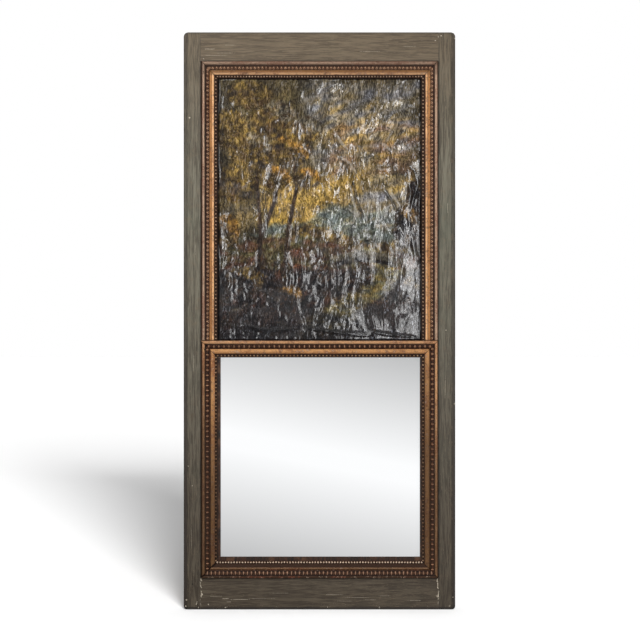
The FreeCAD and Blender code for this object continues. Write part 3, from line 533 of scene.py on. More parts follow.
def fixNormals(piece, joined=False):
    shape = bmesh.new()
    shape.from_mesh(piece.data)
    if joined:
        bmesh.ops.remove_doubles(shape, verts=shape.verts, dist=1e-6)
    bmesh.ops.recalc_face_normals(shape, faces=shape.faces)
    shape.to_mesh(piece.data)
    shape.free()


giltValues = {
    "upper": {"bead": "#bd9d84", "fillet": "#efba86", "hollow": "#bd8651", "foot": 0.0},
    "lower": {"bead": "#cc9a6e", "fillet": "#cb9560", "hollow": "#5e3a1f", "foot": 0.74},
    # the bottom member's tones are darker: painted shade at the frame's foot, and wear
    "bottom": {"bead": "#46301f", "fillet": "#9c7a5a", "hollow": "#55361b", "foot": 0.0},
    "bole_and_shade": "#7a3a20", "gesso": "#d8c9b2", "dirt": "#241108", "groove": "#38200e", "seat": "#2a150a",
    "side": "#3a2617", "dim": "#3c2919", "grime_and_shade": "#4a382c", "crack": "#140a05", "bare": "#5c432e",
    "halfWide": 0.299, "mirrorFoot": 0.079, "mirrorHead": 0.676, "pictureHead": 1.378,
}


def giltFinish(name, tones):
    g = giltValues
    finish = Finish(name, {"Specular IOR Level": 0.3})
    u, along, _ = finish.parts(finish.add("ShaderNodeUVMap", {"uv_map": "run"}))
    u = u * 100.0  # mm across the plain section
    scuff = finish.noise(160.0, 5.0, 0.62)
    fine = finish.noise(620.0, 4.0, 0.6)
    cloud = finish.noise(14.0, 4.0)
    line = finish.add("ShaderNodeCombineXYZ", None, [u, along * 12.0])
    drag = finish.drawn((60.0, 2.4, 1.0), 4.0, vector=line)
    back = finish.y * 1000.0 - profileValues["front"]
    bead = u.past(9.0, 8.4)
    hollow = u.between(19.2, 25.6, 0.4)
    fillet = u.between(26.1, 30.8, 0.25)
    finish.colour = finish.mix(bead, g["seat"], tones["bead"])
    # the bead's outer side is dark: painted shade in the gap by the stile, and dirt
    finish.over(u.past(2.2, 0.8) * 0.7, g["side"])
    finish.over(hollow, tones["hollow"])
    finish.over(hollow * u.past(20.6, 19.2) * 0.5, g["dirt"])
    finish.over(hollow * u.past(24.6, 26.0) * 0.5, g["dirt"])
    finish.over(fillet, tones["fillet"])
    # the fillet's inner edge is painted darker in the bole's colour: painted shade across its rounded face
    finish.over(fillet * u.past(28.6, 30.6) * 0.34, g["bole_and_shade"])
    finish.over(u.past(31.1, 31.6), g["groove"])
    finish.over(u.between(8.3, 9.7, 0.25), g["dirt"])
    # gold rubbed through to the red bole, and in places to the gesso
    gold = bead.most(fillet).most(hollow * 0.7)
    rubbed = (scuff * 0.6 + cloud * 0.5).past(0.54, 0.63)
    finish.over(rubbed * gold * 0.55, g["bole_and_shade"])
    bright = (scuff + fine * 0.35).past(0.75, 0.83) * gold
    finish.over(bright * 0.35, g["gesso"])
    blotch = finish.noise(85.0, 4.0, 0.65)
    grime_and_shade = (drag * 0.5 + fine * 0.5).past(0.5, 0.36).most(blotch.past(0.44, 0.34) * 0.8)
    finish.over(grime_and_shade * 0.7, g["dirt"])
    # the outer gap and face are dark: painted shade where the moulding meets the stile, and old dirt; the
    # foot of the frame is darker too
    outer = u.past(0.25, -0.1).most(back.past(3.2, 5.2) * u.past(0.6, 0.2))
    finish.over(outer * 0.9, g["side"])
    # darker towards the foot, on the left members' beads and on the right members' fillets: painted shade
    # where less light falls, with wear at the foot
    foot = finish.z.past(0.60, 0.27)
    upTo = finish.z.past(0.66, 0.60)
    leftShade = finish.x.past(-0.22, -0.27) * upTo * (0.1 + bead * 0.4)
    rightShade = finish.x.past(0.22, 0.27) * upTo * fillet * 0.5
    dim = (foot * 0.9 + leftShade + rightShade).least(1.0) * tones["foot"]
    finish.over(dim, g["dim"])
    # the picture's top member is painted darker: painted shade
    head = finish.z.past(1.340, 1.346) * (1 - tones["foot"]) * finish.z.past(1.0, 1.1)
    finish.over(head * 0.46, g["grime_and_shade"])
    # the mitres of the mirror's foot and head, and of the picture's head, are open and dark
    inset = g["halfWide"] - abs(finish.x)
    mitre = abs(inset - finish.z + g["mirrorFoot"])
    for corner in ("mirrorHead", "pictureHead"):
        mitre = mitre.least(abs(inset - g[corner] + finish.z))
    opened = finish.x.past(0.0, -0.1) * finish.z.past(0.3, 0.2) * 0.0011
    mitre = (mitre - opened - (scuff - 0.5) * 0.0016).past(0.0011, 0.0003)
    finish.over(mitre * inset.past(0.044, 0.0425) * 0.85, g["crack"])
    behind = back.past(17.5, 18.2)
    finish.over(behind, g["bare"])
    kept = gold * (1 - grime_and_shade * 0.8) * (1 - rubbed) * (1 - bright)
    roughness = 0.62 - kept * 0.2 + fine * 0.1
    height = scuff * 0.6 + fine * 0.35 + drag * 0.25 - grime_and_shade * 0.3
    return finish.use(roughness=roughness, metallic=kept * 0.4, normal=finish.bump(height, 0.0006))


gilding = {key: giltFinish("worn_gilding_" + key, giltValues[key]) for key in ("upper", "lower", "bottom")}
members = [name for name in sorted(nodes) if "_moulding_" in name]
for order, nodeName in enumerate(members):
    place = "upper" if nodeName.startswith("picture") else "lower"
    moulding(nodeName, gilding["bottom" if nodeName.endswith("bottom") else place], order)
print("mouldings run:", len(members))


# pressed ornament: leaves and pearls, set out along each moulding

ornamentValues = {
    "leafLine": 14.25, "pearlLine": 37.6, "leafRise": 3.0, "seatFront": 6.0, "seatBack": 9.5,
    "seatStart": 9.5, "seatWidth": 9.5, "pearlRadius": 3.0, "pearlSeat": 15.0, "pearlShift": 0.9,
    "unevenness": 0.06,
}
coursePitches = {  # mm from one leaf or pearl to the next; the level strips were pressed closer
    "leaf": {"picture": 10.5, "picture_top": 9.45,
             "mirror": 12.5, "mirror_top": 12.6, "mirror_bottom": 10.05},
    "pearl": {"picture": 9.1, "picture_top": 7.3, "mirror": 9.35, "mirror_top": 9.1, "mirror_bottom": 7.0},
}


def reliefMesh(name, points, faces, relief):
    # relief, 0 in the hollows and 1 on the tops, is kept for the finish
    motif = newPiece(name, [tuple(c / 1000 for c in p) for p in points], faces, [])
    layer = motif.data.attributes.new("relief", "FLOAT", "POINT")
    layer.data.foreach_set("value", relief)
    fixNormals(motif, True)
    return motif


def gridFaces(first, rows, columns, closed=False):
    # quads between rows of points; a closed row joins its end to its start
    wide = columns if closed else columns + 1
    faces = []
    for r in range(rows):
        for k in range(columns):
            a, b = first + r * wide + k, first + r * wide + (k + 1) % wide
            faces.append((a, b, b + wide, a + wide))
    return faces


def seatBack(across):
    # how far back the sloping leaf seat lies, at a place across the moulding
    o = ornamentValues
    share = (across - o["seatStart"]) / o["seatWidth"]
    return o["seatFront"] + (o["seatBack"] - o["seatFront"]) * share


def heartLeaf(pitch):
    # a heart leaf with a vein and turned-up edges, its tip to the outside, and a dart beside it
    o = ornamentValues
    points, faces, relief = [], [], []
    rows, columns = 6, 4
    for side in (-1, 1):
        faces += gridFaces(len(points), rows, columns)
        for t in range(rows + 1):
            share = t / rows
            half = pitch * 0.44 * math.sin(math.pi * (0.03 + 0.68 * share)) ** 0.85
            for s in range(columns + 1):
                reach = s / columns
                lobe = 0.80 + 0.20 * math.sin(math.pi * min(1.0, reach * 1.1 + 0.1))
                across = o["seatStart"] + 0.15 + (o["seatWidth"] - 0.3) * share * (0.55 * lobe + 0.45)
                ridge = 0.20 + 0.80 * abs(2 * reach - 1) ** 1.6
                swell = math.sin(math.pi * (0.12 + 0.72 * share)) ** 0.7
                lift = 0.0 if s == columns else ridge * swell
                lift = lift * (0.12 if t in (0, rows) else 1.0)
                points.append((across, seatBack(across) - o["leafRise"] * lift + 0.1, side * reach * half))
                relief.append(lift)
    faces += gridFaces(len(points), 3, 2)
    for across, half, lift in ((9.8, 0.5, 0.1), (12.0, 1.3, 0.85), (15.0, 0.55, 0.8), (18.6, 0.25, 0.15)):
        for edge, part in ((-1, 0.0), (0, 1.0), (1, 0.0)):
            points.append((across, seatBack(across) - o["leafRise"] * lift * part + 0.1,
                           pitch / 2 + edge * half))
            relief.append(lift * part * 0.6)
    return reliefMesh("heart_leaf", points, faces, relief)


def eggAndScroll(pitch):
    # an egg in a C-shaped scroll that opens to the outside
    o = ornamentValues
    rings = ((0.0, 1.0), (0.24, 0.95), (0.40, 0.3), (0.50, 0.0), (0.68, 0.55), (0.83, 0.72), (0.98, 0.0))
    spokes = 12
    centre = o["seatStart"] + o["seatWidth"] / 2
    points, relief = [], []
    for radius, lift in rings:
        for k in range(spokes):
            turn = 2 * math.pi * k / spokes
            across = centre + radius * math.cos(turn) * o["seatWidth"] * 0.485
            along = radius * math.sin(turn) * pitch * 0.46
            opening = 1.0
            if radius > 0.6:
                opening = 0.25 + 0.75 * min(1.0, (1 + math.cos(turn)) * 0.8)
            points.append((across, seatBack(across) - o["leafRise"] * lift * opening + 0.08, along))
            relief.append(lift * opening)
    return reliefMesh("egg_and_scroll", points, gridFaces(0, len(rings) - 1, spokes, True), relief)


def pearlBead(pitch):
    # half a pearl with the thread that joins it to the next
    o = ornamentValues
    radius, spokes = o["pearlRadius"], 10
    points, relief = [], []
    for ring in range(5):
        slope = math.pi / 2 * ring / 4 * 0.98
        for k in range(spokes):
            turn = 2 * math.pi * k / spokes
            reach = radius * 0.97 * math.sin(slope) if ring else 0.0
            back = o["pearlSeat"] + 0.12 - (radius - 0.1) * math.cos(slope)
            points.append((o["pearlLine"] + reach * math.cos(turn), back, reach * math.sin(turn)))
            relief.append(math.cos(slope))
    faces = gridFaces(0, 4, spokes, True) + gridFaces(len(points), 1, 3)
    for end in (radius * 0.8, pitch - radius * 0.8):
        for across, lift in ((-0.9, 0.0), (-0.5, 0.75), (0.5, 0.75), (0.9, 0.0)):
            points.append((o["pearlLine"] + across, o["pearlSeat"] + 0.1 - lift, end))
            relief.append(0.12)
    return reliefMesh("pearl", points, faces, relief)


def courseTree():
    # a motif repeated along a run: sizes in metres, the run turned about Y and set at its start
    group = bpy.data.node_groups.new("ornament_course", "GeometryNodeTree")
    group.interface.new_socket("Geometry", in_out="OUTPUT", socket_type="NodeSocketGeometry")
    inputs = (("Motif", "Object"), ("Length", "Float"), ("Pitch", "Float"), ("Lead", "Float"),
              ("Across", "Float"), ("Unevenness", "Float"), ("Seed", "Int"), ("Start", "Vector"),
              ("Turn", "Vector"), ("Finish", "Material"))
    for name, kind in inputs:
        group.interface.new_socket(name, in_out="INPUT", socket_type="NodeSocket" + kind)
    tree = Tree(group)
    entry = group.nodes.new("NodeGroupInput")
    given = {name: Wire(tree, entry.outputs[name]) for name, _ in inputs}
    count = tree.add("ShaderNodeMath", {"operation": "FLOOR"}, [given["Length"] / given["Pitch"]])
    step = given["Length"] / count
    first = tree.add("ShaderNodeCombineXYZ", None, [0.0, 0.0, given["Lead"] + step * 0.5])
    stride = tree.add("ShaderNodeCombineXYZ", None, [0.0, 0.0, step])
    line = tree.add("GeometryNodeMeshLine", None,
                    {"Count": count, "Start Location": first, "Offset": stride})
    motif = tree.add("GeometryNodeObjectInfo", None, {"Object": given["Motif"]}, "Geometry")
    uneven = given["Unevenness"]
    size = tree.add("FunctionNodeRandomValue", {"data_type": "FLOAT"},
                    {2: 1 - uneven, 3: 1 + uneven * 0.3, "Seed": given["Seed"]}, 1)
    scale = tree.add("ShaderNodeCombineXYZ", None, [given["Across"], 1.0, size])
    copies = tree.add("GeometryNodeInstanceOnPoints", None,
                      {"Points": line, "Instance": motif, "Scale": scale})
    real = tree.add("GeometryNodeRealizeInstances", None, {"Geometry": copies})
    turned = tree.add("GeometryNodeTransform", None,
                      {"Geometry": real, "Rotation": given["Turn"], "Translation": given["Start"]})
    done = tree.add("GeometryNodeSetMaterial", None, {"Geometry": turned, "Material": given["Finish"]})
    leave = group.nodes.new("NodeGroupOutput")
    group.links.new(done.socket, leave.inputs["Geometry"])
    return group


def useTree(piece, group, values):
    modifier = piece.modifiers.new("course", "NODES")
    modifier.node_group = group
    for item in group.interface.items_tree:
        if item.in_out == "INPUT" and item.name in values:
            modifier[item.identifier] = values[item.name]
    return plainMesh(piece)


def ornamentFinish(name, deep, worn, bright, rubStart):
    # dark in the hollows, rubbed on the tops; the tops' bright colour is partly painted highlight
    finish = Finish(name, {"Specular IOR Level": 0.3})
    relief = finish.attribute("relief")
    scuff = finish.noise(210.0, 4.0, 0.6)
    fine = finish.noise(900.0, 3.0, 0.6)
    cloud = finish.noise(16.0, 3.0)
    rub = (relief + (scuff - 0.5) * 0.6).past(rubStart, rubStart + 0.24)
    top = (relief + (scuff - 0.5) * 0.7 + (cloud - 0.5) * 0.5).past(rubStart + 0.3, rubStart + 0.55)
    # darker and duller towards the frame's foot: painted shade, and wear
    foot = finish.z.past(0.62, 0.3) * finish.z.past(0.124, 0.14)
    finish.colour = finish.mix(rub, deep, worn)
    finish.over(top * (1 - foot * 0.4), bright)
    finish.over(cloud.past(0.55, 0.75) * 0.45, deep)
    finish.over(foot * 0.3, "#33221a")
    roughness = 0.6 - top * 0.18 + fine * 0.1
    return finish.use(roughness=roughness, metallic=rub * 0.25,
                      normal=finish.bump(scuff * 0.6 + fine * 0.4, 0.0004))


leafFinishes = {
    "picture": ornamentFinish("rubbed_upper_leaves", "#25120a", "#7c523a", "#d9ad88", 0.20),
    "mirror": ornamentFinish("rubbed_lower_leaves", "#150a05", "#75492f", "#bd9270", 0.19),
    "bottom": ornamentFinish("rubbed_bottom_leaves", "#1a0e07", "#75503a", "#b28c70", 0.20),
}
pearlFinishes = {
    "picture": ornamentFinish("rubbed_upper_pearls", "#120905", "#6d4d38", "#c4a488", 0.46),
    "mirror": ornamentFinish("rubbed_lower_pearls", "#120905", "#6b4528", "#b09072", 0.46),
    "bottom": ornamentFinish("rubbed_bottom_pearls", "#1f120b", "#9c7a60", "#ecd2ba", 0.34),
}
course = courseTree()
o = ornamentValues
motifs = {}
for order, nodeName in enumerate(members):
    family, _, side = nodeName.split("_")
    run, shape = runOf(nodeName), sectionOf(nodeName)
    # the leaves are as wide as their seat on this member, and the pearls keep to its inner edge
    spread = (shape["leaf"] - shape["seat"]) / o["seatWidth"]
    finishKey = "bottom" if side == "bottom" else family
    leafShape = eggAndScroll if family == "picture" else heartLeaf
    kinds = (("leaf", "leaves", leafShape, o["leafLine"], leafFinishes[finishKey],
              spread, shape["seat"] - o["seatStart"] * spread),
             ("pearl", "pearls", pearlBead, o["pearlLine"], pearlFinishes[finishKey], 1.0, o["pearlShift"]))
    for kind, plural, shaped, line, material, wide, shift in kinds:
        pitch = coursePitches[kind].get(f"{family}_{side}", coursePitches[kind][family])
        if (kind, pitch) not in motifs:
            motifs[(kind, pitch)] = shaped(pitch)
        middle = (line * wide + shift) / 1000
        lead = middle * run["mitred"][0]
        length = run["length"] - lead - middle * run["mitred"][1]
        piece = newPiece(f"{family}_{plural}_{side}", [], [], [material])
        useTree(piece, course, {
            "Motif": motifs[(kind, pitch)], "Length": length, "Pitch": pitch / 1000, "Lead": lead,
            "Across": wide, "Unevenness": o["unevenness"], "Seed": order, "Finish": material,
            "Start": setOut(run, shift / 1000, profileValues["front"] / 1000, 0.0),
            "Turn": (0.0, run["turn"], 0.0),
        })
        hand(piece, "frame", kind + "_course", f"{family}_{kind}_strip_{side}")
for motif in motifs.values():
    bpy.data.objects.remove(motif)
print("leaf courses and pearls set out")


# the canvas: a stretched sheet, cockled with age, with a landscape made of brush dabs

canvasValues = {
    "step": 0.00216, "cloth": 0.0011, "turn": 0.0158, "coarse": 4, "seed": 41,
    "bend": 0.0016, "endTone": (0.02, 0.016, 0.01),
    "swell": 0.0034, "ripple": 0.0024, "crease": 0.0007, "pucker": 0.00016, "brush": 0.00014,
    "edgeHold": 0.012,
    "knotX": 0.085, "knotZ": 1.04, "knotWide": 0.14, "knotTall": 0.19, "flat": (0.5576, 0.7051),
}
canvasFolds = (  # points x, z, then width and height, in mm
    (((80, 1080), (92, 1030), (111, 975)), 4.5, -1.9), (((71, 1084), (84, 1030), (102, 975)), 5.5, 2.1),
    (((163, 1056), (180, 1030), (195, 1000)), 4.5, -1.7),
    (((172, 1060), (190, 1032), (205, 1000)), 5.5, 1.8),
    (((213, 1132), (242, 1098), (246, 1069), (223, 993), (230, 937), (246, 867)), 5.5, -1.0),
    (((203, 1128), (231, 1094), (235, 1069), (212, 993), (219, 937), (236, 867)), 8.5, 0.4),
    (((31, 1216), (55, 1176), (80, 1146)), 5.5, 1.6), (((37, 1147), (76, 1122), (108, 1077)), 5.0, 1.7),
    (((54, 996), (72, 1008), (90, 992), (84, 970), (62, 968), (54, 996)), 4.5, 1.7),
    (((150, 1175), (168, 1166), (185, 1147)), 5.0, 1.8),
    (((140, 1118), (156, 1104), (176, 1110)), 5.0, 1.5), (((118, 1060), (126, 1010), (118, 960)), 5.0, 1.7),
    (((146, 1040), (150, 990), (140, 950)), 5.0, 1.5),
    (((-150, 1230), (-132, 1180), (-140, 1130)), 6.5, 1.2),
    (((-60, 1270), (-44, 1210), (-52, 1160)), 6.5, 1.1), (((-40, 708), (60, 694), (130, 690)), 4.0, -1.5),
    (((120, 700), (180, 690), (244, 684)), 4.0, -0.8), (((-200, 716), (-130, 700), (-60, 704)), 4.0, -1.2),
    (((120, 930), (132, 880), (126, 820)), 6.0, 1.4), (((60, 905), (66, 850), (58, 800)), 5.5, 1.1),
    (((-245, 1010), (-238, 930), (-246, 850)), 6.0, 1.3),
    (((-140, 1010), (-136, 960), (-142, 930)), 4.5, 1.2), (((-62, 1010), (-58, 965), (-64, 930)), 4.5, 1.2),
)


def lattice(x, z, cellX, cellZ, seed):
    # smooth value noise, -1 to 1, on cells of the given size
    rng = np.random.default_rng(seed)
    table = rng.uniform(-1, 1, (256, 256))
    gx, gz = x / cellX + 1000, z / cellZ + 1000
    ix, iz = np.floor(gx).astype(int), np.floor(gz).astype(int)
    fx, fz = gx - ix, gz - iz
    fx, fz = fx * fx * (3 - 2 * fx), fz * fz * (3 - 2 * fz)

    def at(i, j):
        return table[(ix + i) % 256, (iz + j) % 256]

    low = at(0, 0) * (1 - fx) + at(1, 0) * fx
    high = at(0, 1) * (1 - fx) + at(1, 1) * fx
    return low * (1 - fz) + high * fz


def foldHeight(x, z):
    # the long folds, each a soft ridge or furrow along its line, running out at both ends
    total = np.zeros_like(x)
    for line, wide, tall in canvasFolds:
        best = np.full_like(x, 1.0)
        place = np.zeros_like(x)
        spans = len(line) - 1
        for k in range(spans):
            ax, az = line[k][0] / 1000, line[k][1] / 1000
            bx, bz = line[k + 1][0] / 1000 - ax, line[k + 1][1] / 1000 - az
            share = np.clip(((x - ax) * bx + (z - az) * bz) / (bx * bx + bz * bz), 0, 1)
            gap = np.hypot(x - ax - share * bx, z - az - share * bz)
            place = np.where(gap < best, (k + share) / spans, place)
            best = np.minimum(gap, best)
        fade = np.sin(np.pi * np.clip(place, 0.02, 0.98)) ** 0.5
        total += tall / 800 * fade * np.exp(-(best * 1000 / wide) ** 2)
    return total


def cockle(x, z, low, high):
    # how far the canvas stands forward; the edges are held by the stretcher
    c = canvasValues
    hold = np.minimum.reduce([x - low.x, high.x - x, z - low.z, high.z - z]) / c["edgeHold"]
    hold = np.clip(hold, 0, 1) ** 1.3
    bendX = x + 0.014 * lattice(x, z, 0.06, 0.07, c["seed"] + 5)
    bendZ = z + 0.014 * lattice(x, z, 0.06, 0.07, c["seed"] + 6)
    # worst buckled right of the middle, and nearly flat at the foot
    knot = np.exp(-((x - c["knotX"]) / c["knotWide"]) ** 2 - ((z - c["knotZ"]) / c["knotTall"]) ** 2)
    swell = lattice(bendX, bendZ, 0.085, 0.12, c["seed"])
    ripple = 1 - 2 * np.abs(lattice(bendX, bendZ, 0.030, 0.052, c["seed"] + 1))
    crease = 1 - 2 * np.abs(lattice(bendX, bendZ, 0.0095, 0.024, c["seed"] + 2))
    pucker = lattice(x, z, 0.006, 0.009, c["seed"] + 3)
    brush = lattice(bendX, bendZ, 0.0050, 0.024, c["seed"] + 8)
    brush = brush * (0.75 + 0.6 * lattice(x, z, 0.022, 0.030, c["seed"] + 9))
    calm = 1 / (1 + np.exp((z - 1.0) / 0.03)) / (1 + np.exp((0.09 - x) / 0.02))
    strength = 0.40 + 0.26 * lattice(x, z, 0.12, 0.12, c["seed"] + 4) + 1.1 * knot
    strength = strength * (1 - 0.6 * calm)
    height = c["swell"] * (swell + 0.6) + c["ripple"] * ripple * strength
    height = height + (c["crease"] * crease * strength + c["pucker"] * pucker) * (1 - 0.6 * calm)
    height = height + c["brush"] * brush
    folds = foldHeight(x + 0.003 * lattice(x, z, 0.02, 0.03, c["seed"] + 7), z)
    return np.maximum(height + folds, -0.0002) * hold, folds


class Painter:
    # oil dabs laid on a grid of colours
    def __init__(self, x, z, ground, seed):
        self.x, self.z = x, z
        self.colour = np.ones(x.shape + (3,)) * np.array(ground)
        self.rng = np.random.default_rng(seed)

    def dab(self, cx, cz, length, width, angle, colour, cover):
        reach = max(length, width) * 1.5
        i0, i1 = np.searchsorted(self.x[0], (cx - reach, cx + reach))
        j0, j1 = np.searchsorted(self.z[:, 0], (cz - reach, cz + reach))
        if i1 <= i0 or j1 <= j0:
            return
        dx, dz = self.x[j0:j1, i0:i1] - cx, self.z[j0:j1, i0:i1] - cz
        along = (dx * math.cos(angle) + dz * math.sin(angle)) / length
        across = (-dx * math.sin(angle) + dz * math.cos(angle)) / width
        bristle = 0.82 + 0.18 * np.cos(across * 9 + self.rng.uniform(0, 6))
        mask = np.exp(-np.abs(along) ** 3 - np.abs(across) ** 3) * cover * bristle
        patch = self.colour[j0:j1, i0:i1]
        patch += (np.array(colour) - patch) * np.clip(mask, 0, 1)[..., None]

    def scatter(self, count, box, length, width, angle, colours, cover, where=None):
        # dabs spread over a box (x0, x1, z0, z1), kept where the mask allows
        rng = self.rng
        for _ in range(count):
            cx, cz = rng.uniform(box[0], box[1]), rng.uniform(box[2], box[3])
            if where is not None and not where(cx, cz):
                continue
            colour = np.array(colours[rng.integers(len(colours))]) * rng.uniform(0.82, 1.16)
            self.dab(cx, cz, length * rng.uniform(0.6, 1.4), width * rng.uniform(0.6, 1.4),
                     angle + rng.normal(0, 0.35), np.clip(colour, 0, 1), cover * rng.uniform(0.5, 1))

    def foliage(self, cx, cz, rx, rz, darks, lights, count):
        # a crown of leaves: dark mass first, then lights on the side of the sky
        rng = self.rng
        for step in range(count):
            turn, out = rng.uniform(0, 2 * math.pi), math.sqrt(rng.uniform(0, 1))
            px, pz = cx + rx * out * math.cos(turn), cz + rz * out * math.sin(turn)
            lit = step > count * 0.45 and math.cos(turn - 0.9) * out > 0.15
            palette = lights if lit else darks
            colour = np.array(palette[rng.integers(len(palette))]) * rng.uniform(0.8, 1.2)
            size = rng.uniform(0.0035, 0.0085) * (0.8 if lit else 1.25)
            self.dab(px, pz, size, size * rng.uniform(0.45, 0.8), rng.uniform(0, math.pi),
                     np.clip(colour, 0, 1), rng.uniform(0.55, 0.95))


landscapeGround, horizon = "#3a3018", 0.43
landscapeTones = {
    "skyDark": ("#5a4f33", "#4b4230", "#6a5933"), "skyOlive": ("#7a6538", "#866d3d", "#6a5c3e"),
    "skyGlow": ("#a98a3e", "#b6924a", "#c09c55", "#9a7c38"), "skyBlue": ("#81828c", "#9596a0", "#585c6c"),
    "ember": ("#8f5f3a", "#a0704a", "#6f5140"),
    "ridge": ("#57605f", "#4c5552", "#646a5f"), "hill": ("#5e5a38", "#4e4a2b", "#6c6338"),
    "crownDark": ("#382c1a", "#493823", "#574125", "#272015"),
    "crownOlive": ("#7d6530", "#8f7436", "#5f4d2c"), "crownBlue": ("#746b56", "#8d8270", "#514c42"),
    "crownGold": ("#8a6527", "#a3782f", "#6f4f22"), "trunk": ("#2a1e14", "#3b2a1a", "#4a3722"),
    "water": ("#6d6a4a", "#8a7d4a", "#585a4c", "#9c8a52"), "stone": ("#6b6250", "#857a62", "#4f483b"),
    "bank": ("#1a1513", "#251d1b", "#33221a", "#110e0e"), "earth": ("#5a3321", "#6e4128", "#41281c"),
    "spark": ("#b39a78", "#93603a", "#c1ab88"),
}


def paintLandscape(x, z, low, high):
    # trees on a slope at the left, a river with a bridge, hills under a low warm sky
    v = {key: [parted(code) for code in codes] for key, codes in landscapeTones.items()}
    painter = Painter(x, z, parted(landscapeGround), canvasValues["seed"] + 20)
    wide, tall = high.x - low.x, high.z - low.z

    def px(share):
        return (low.x + high.x) / 2 + share * wide / 2

    def pz(share):
        return low.z + share * tall

    def box(x0, x1, z0, z1):
        return px(x0), px(x1), pz(z0), pz(z1)

    sky = (  # dabs, box, length and width, angle, tones and cover
        (420, (-1, 1, horizon, 1), 0.034, 0.012, 0.5, "skyDark skyOlive", 0.7),
        (300, (-1, 0.2, 0.62, 1), 0.030, 0.010, 0.7, "skyDark", 0.7),
        (330, (-0.1, 1, 0.66, 0.98), 0.026, 0.010, 0.35, "skyBlue skyOlive", 0.6),
        (170, (0.1, 1, 0.60, 0.82), 0.022, 0.008, 0.2, "ember skyOlive", 0.6),
        (330, (-0.5, 1, horizon, 0.62), 0.034, 0.007, 0.05, "skyGlow", 0.65),
        (110, (0.35, 1, horizon, 0.62), 0.030, 0.008, 0.1, "skyBlue skyOlive", 0.55),
        (120, (0.0, 0.9, 0.70, 0.9), 0.020, 0.006, 0.3, "skyBlue skyGlow", 0.55),
    )
    for count, part, length, width, angle, tones, cover in sky:
        colours = [colour for name in tones.split() for colour in v[name]]
        painter.scatter(count, box(*part), length, width, angle, colours, cover)

    def shareOf(cx):
        return (cx - px(0)) / (wide / 2)

    def ridgeTop(cx):
        share = shareOf(cx)
        return pz(0.455 + 0.05 * math.sin(share * 3.1 + 0.6) + 0.018 * math.sin(share * 11))

    painter.scatter(500, box(-1, 1, 0.38, 0.53), 0.018, 0.006, 0.2, v["ridge"], 0.75,
                    lambda cx, cz: cz < ridgeTop(cx))

    def hillTop(cx):
        return pz(0.395 + 0.035 * math.sin(shareOf(cx) * 4.3 + 2.2))

    painter.scatter(600, box(-1, 1, 0.26, 0.44), 0.017, 0.006, 0.1, v["hill"] + v["earth"], 0.8,
                    lambda cx, cz: cz < hillTop(cx))
    for k in range(26):  # copses on the far bank
        share = -0.25 + 1.25 * k / 25
        painter.foliage(px(share), hillTop(px(share)) - 0.004 + 0.004 * math.sin(k * 2.3), 0.013, 0.010,
                        v["crownOlive"] + v["crownDark"], v["crownOlive"] + v["ridge"], 26)

    def riverAt(share):
        # centre and half width of the water, by height
        bend = 0.36 + 0.30 * math.sin((0.37 - share) * 15.0)
        return bend, 0.05 + (0.37 - share) * 0.75

    def onWater(cx, cz):
        share = (cz - low.z) / tall
        centre, half = riverAt(share)
        return abs(shareOf(cx) - centre) < half

    def onBank(cx, cz):
        return not onWater(cx, cz)

    painter.scatter(1500, box(-0.4, 1, 0.05, 0.36), 0.014, 0.0035, 0.0, v["water"] + v["skyGlow"][:1],
                    0.8, onWater)
    painter.scatter(900, box(-1, 1, 0.0, 0.27), 0.016, 0.007, 0.3, v["bank"], 0.85, onBank)
    painter.scatter(420, box(-1, 1, 0.0, 0.30), 0.010, 0.005, 0.5, v["earth"] + v["bank"], 0.6, onBank)
    # a low bridge of three arches
    for k in range(90):
        share = 0.12 + 0.60 * k / 89
        rise = 0.318 + 0.020 * math.sin(math.pi * k / 89)
        arch = abs(math.sin(math.pi * 3 * k / 89))
        painter.dab(px(share), pz(rise), 0.006, 0.0035, 0.0, v["stone"][k % 3], 0.9)
        painter.dab(px(share), pz(rise - 0.010), 0.005, 0.004, 1.5, v["stone"][(k + 1) % 3] * 0.8, 0.8)
        if arch > 0.55:
            painter.dab(px(share), pz(rise - 0.026), 0.004, 0.007, 1.5, v["bank"][k % 4], 0.85)
        else:
            painter.dab(px(share), pz(rise - 0.028), 0.004, 0.007, 1.5, v["stone"][2], 0.8)
    # two old trees on the slope, with their trunks
    trunks = (((-0.62, 0.20), (-0.56, 0.40), (-0.60, 0.62), (-0.48, 0.84)),
              ((-0.34, 0.22), (-0.30, 0.42), (-0.22, 0.58), (-0.26, 0.74)),
              ((-0.56, 0.40), (-0.44, 0.52), (-0.36, 0.66)))
    for trunk in trunks:
        for (x0, z0), (x1, z1) in zip(trunk, trunk[1:]):
            for k in range(26):
                t = k / 26
                thick = 0.0062 - 0.006 * (z0 + (z1 - z0) * t - 0.2)
                lean = math.atan2((z1 - z0) * tall, (x1 - x0) * wide / 2)
                painter.dab(px(x0 + (x1 - x0) * t), pz(z0 + (z1 - z0) * t), 0.009, max(0.0018, thick), lean,
                            v["trunk"][k % 3], 0.9)
    crowns = ((-0.80, 0.60, 0.050, 0.045, "crownOlive"), (-0.62, 0.72, 0.062, 0.050, "crownBlue"),
              (-0.86, 0.80, 0.045, 0.050, "crownOlive"), (-0.44, 0.84, 0.060, 0.048, "crownBlue"),
              (-0.66, 0.93, 0.055, 0.030, "crownOlive"), (-0.28, 0.72, 0.050, 0.036, "crownGold"),
              (-0.14, 0.80, 0.042, 0.030, "crownBlue"), (-0.42, 0.62, 0.036, 0.026, "crownGold"),
              (-0.12, 0.62, 0.030, 0.020, "crownGold"), (-0.90, 0.42, 0.034, 0.040, "crownGold"))
    for cx, cz, rx, rz, light in crowns:
        painter.foliage(px(cx), pz(cz), rx, rz, v["crownDark"] + v["crownOlive"], v[light], 420)
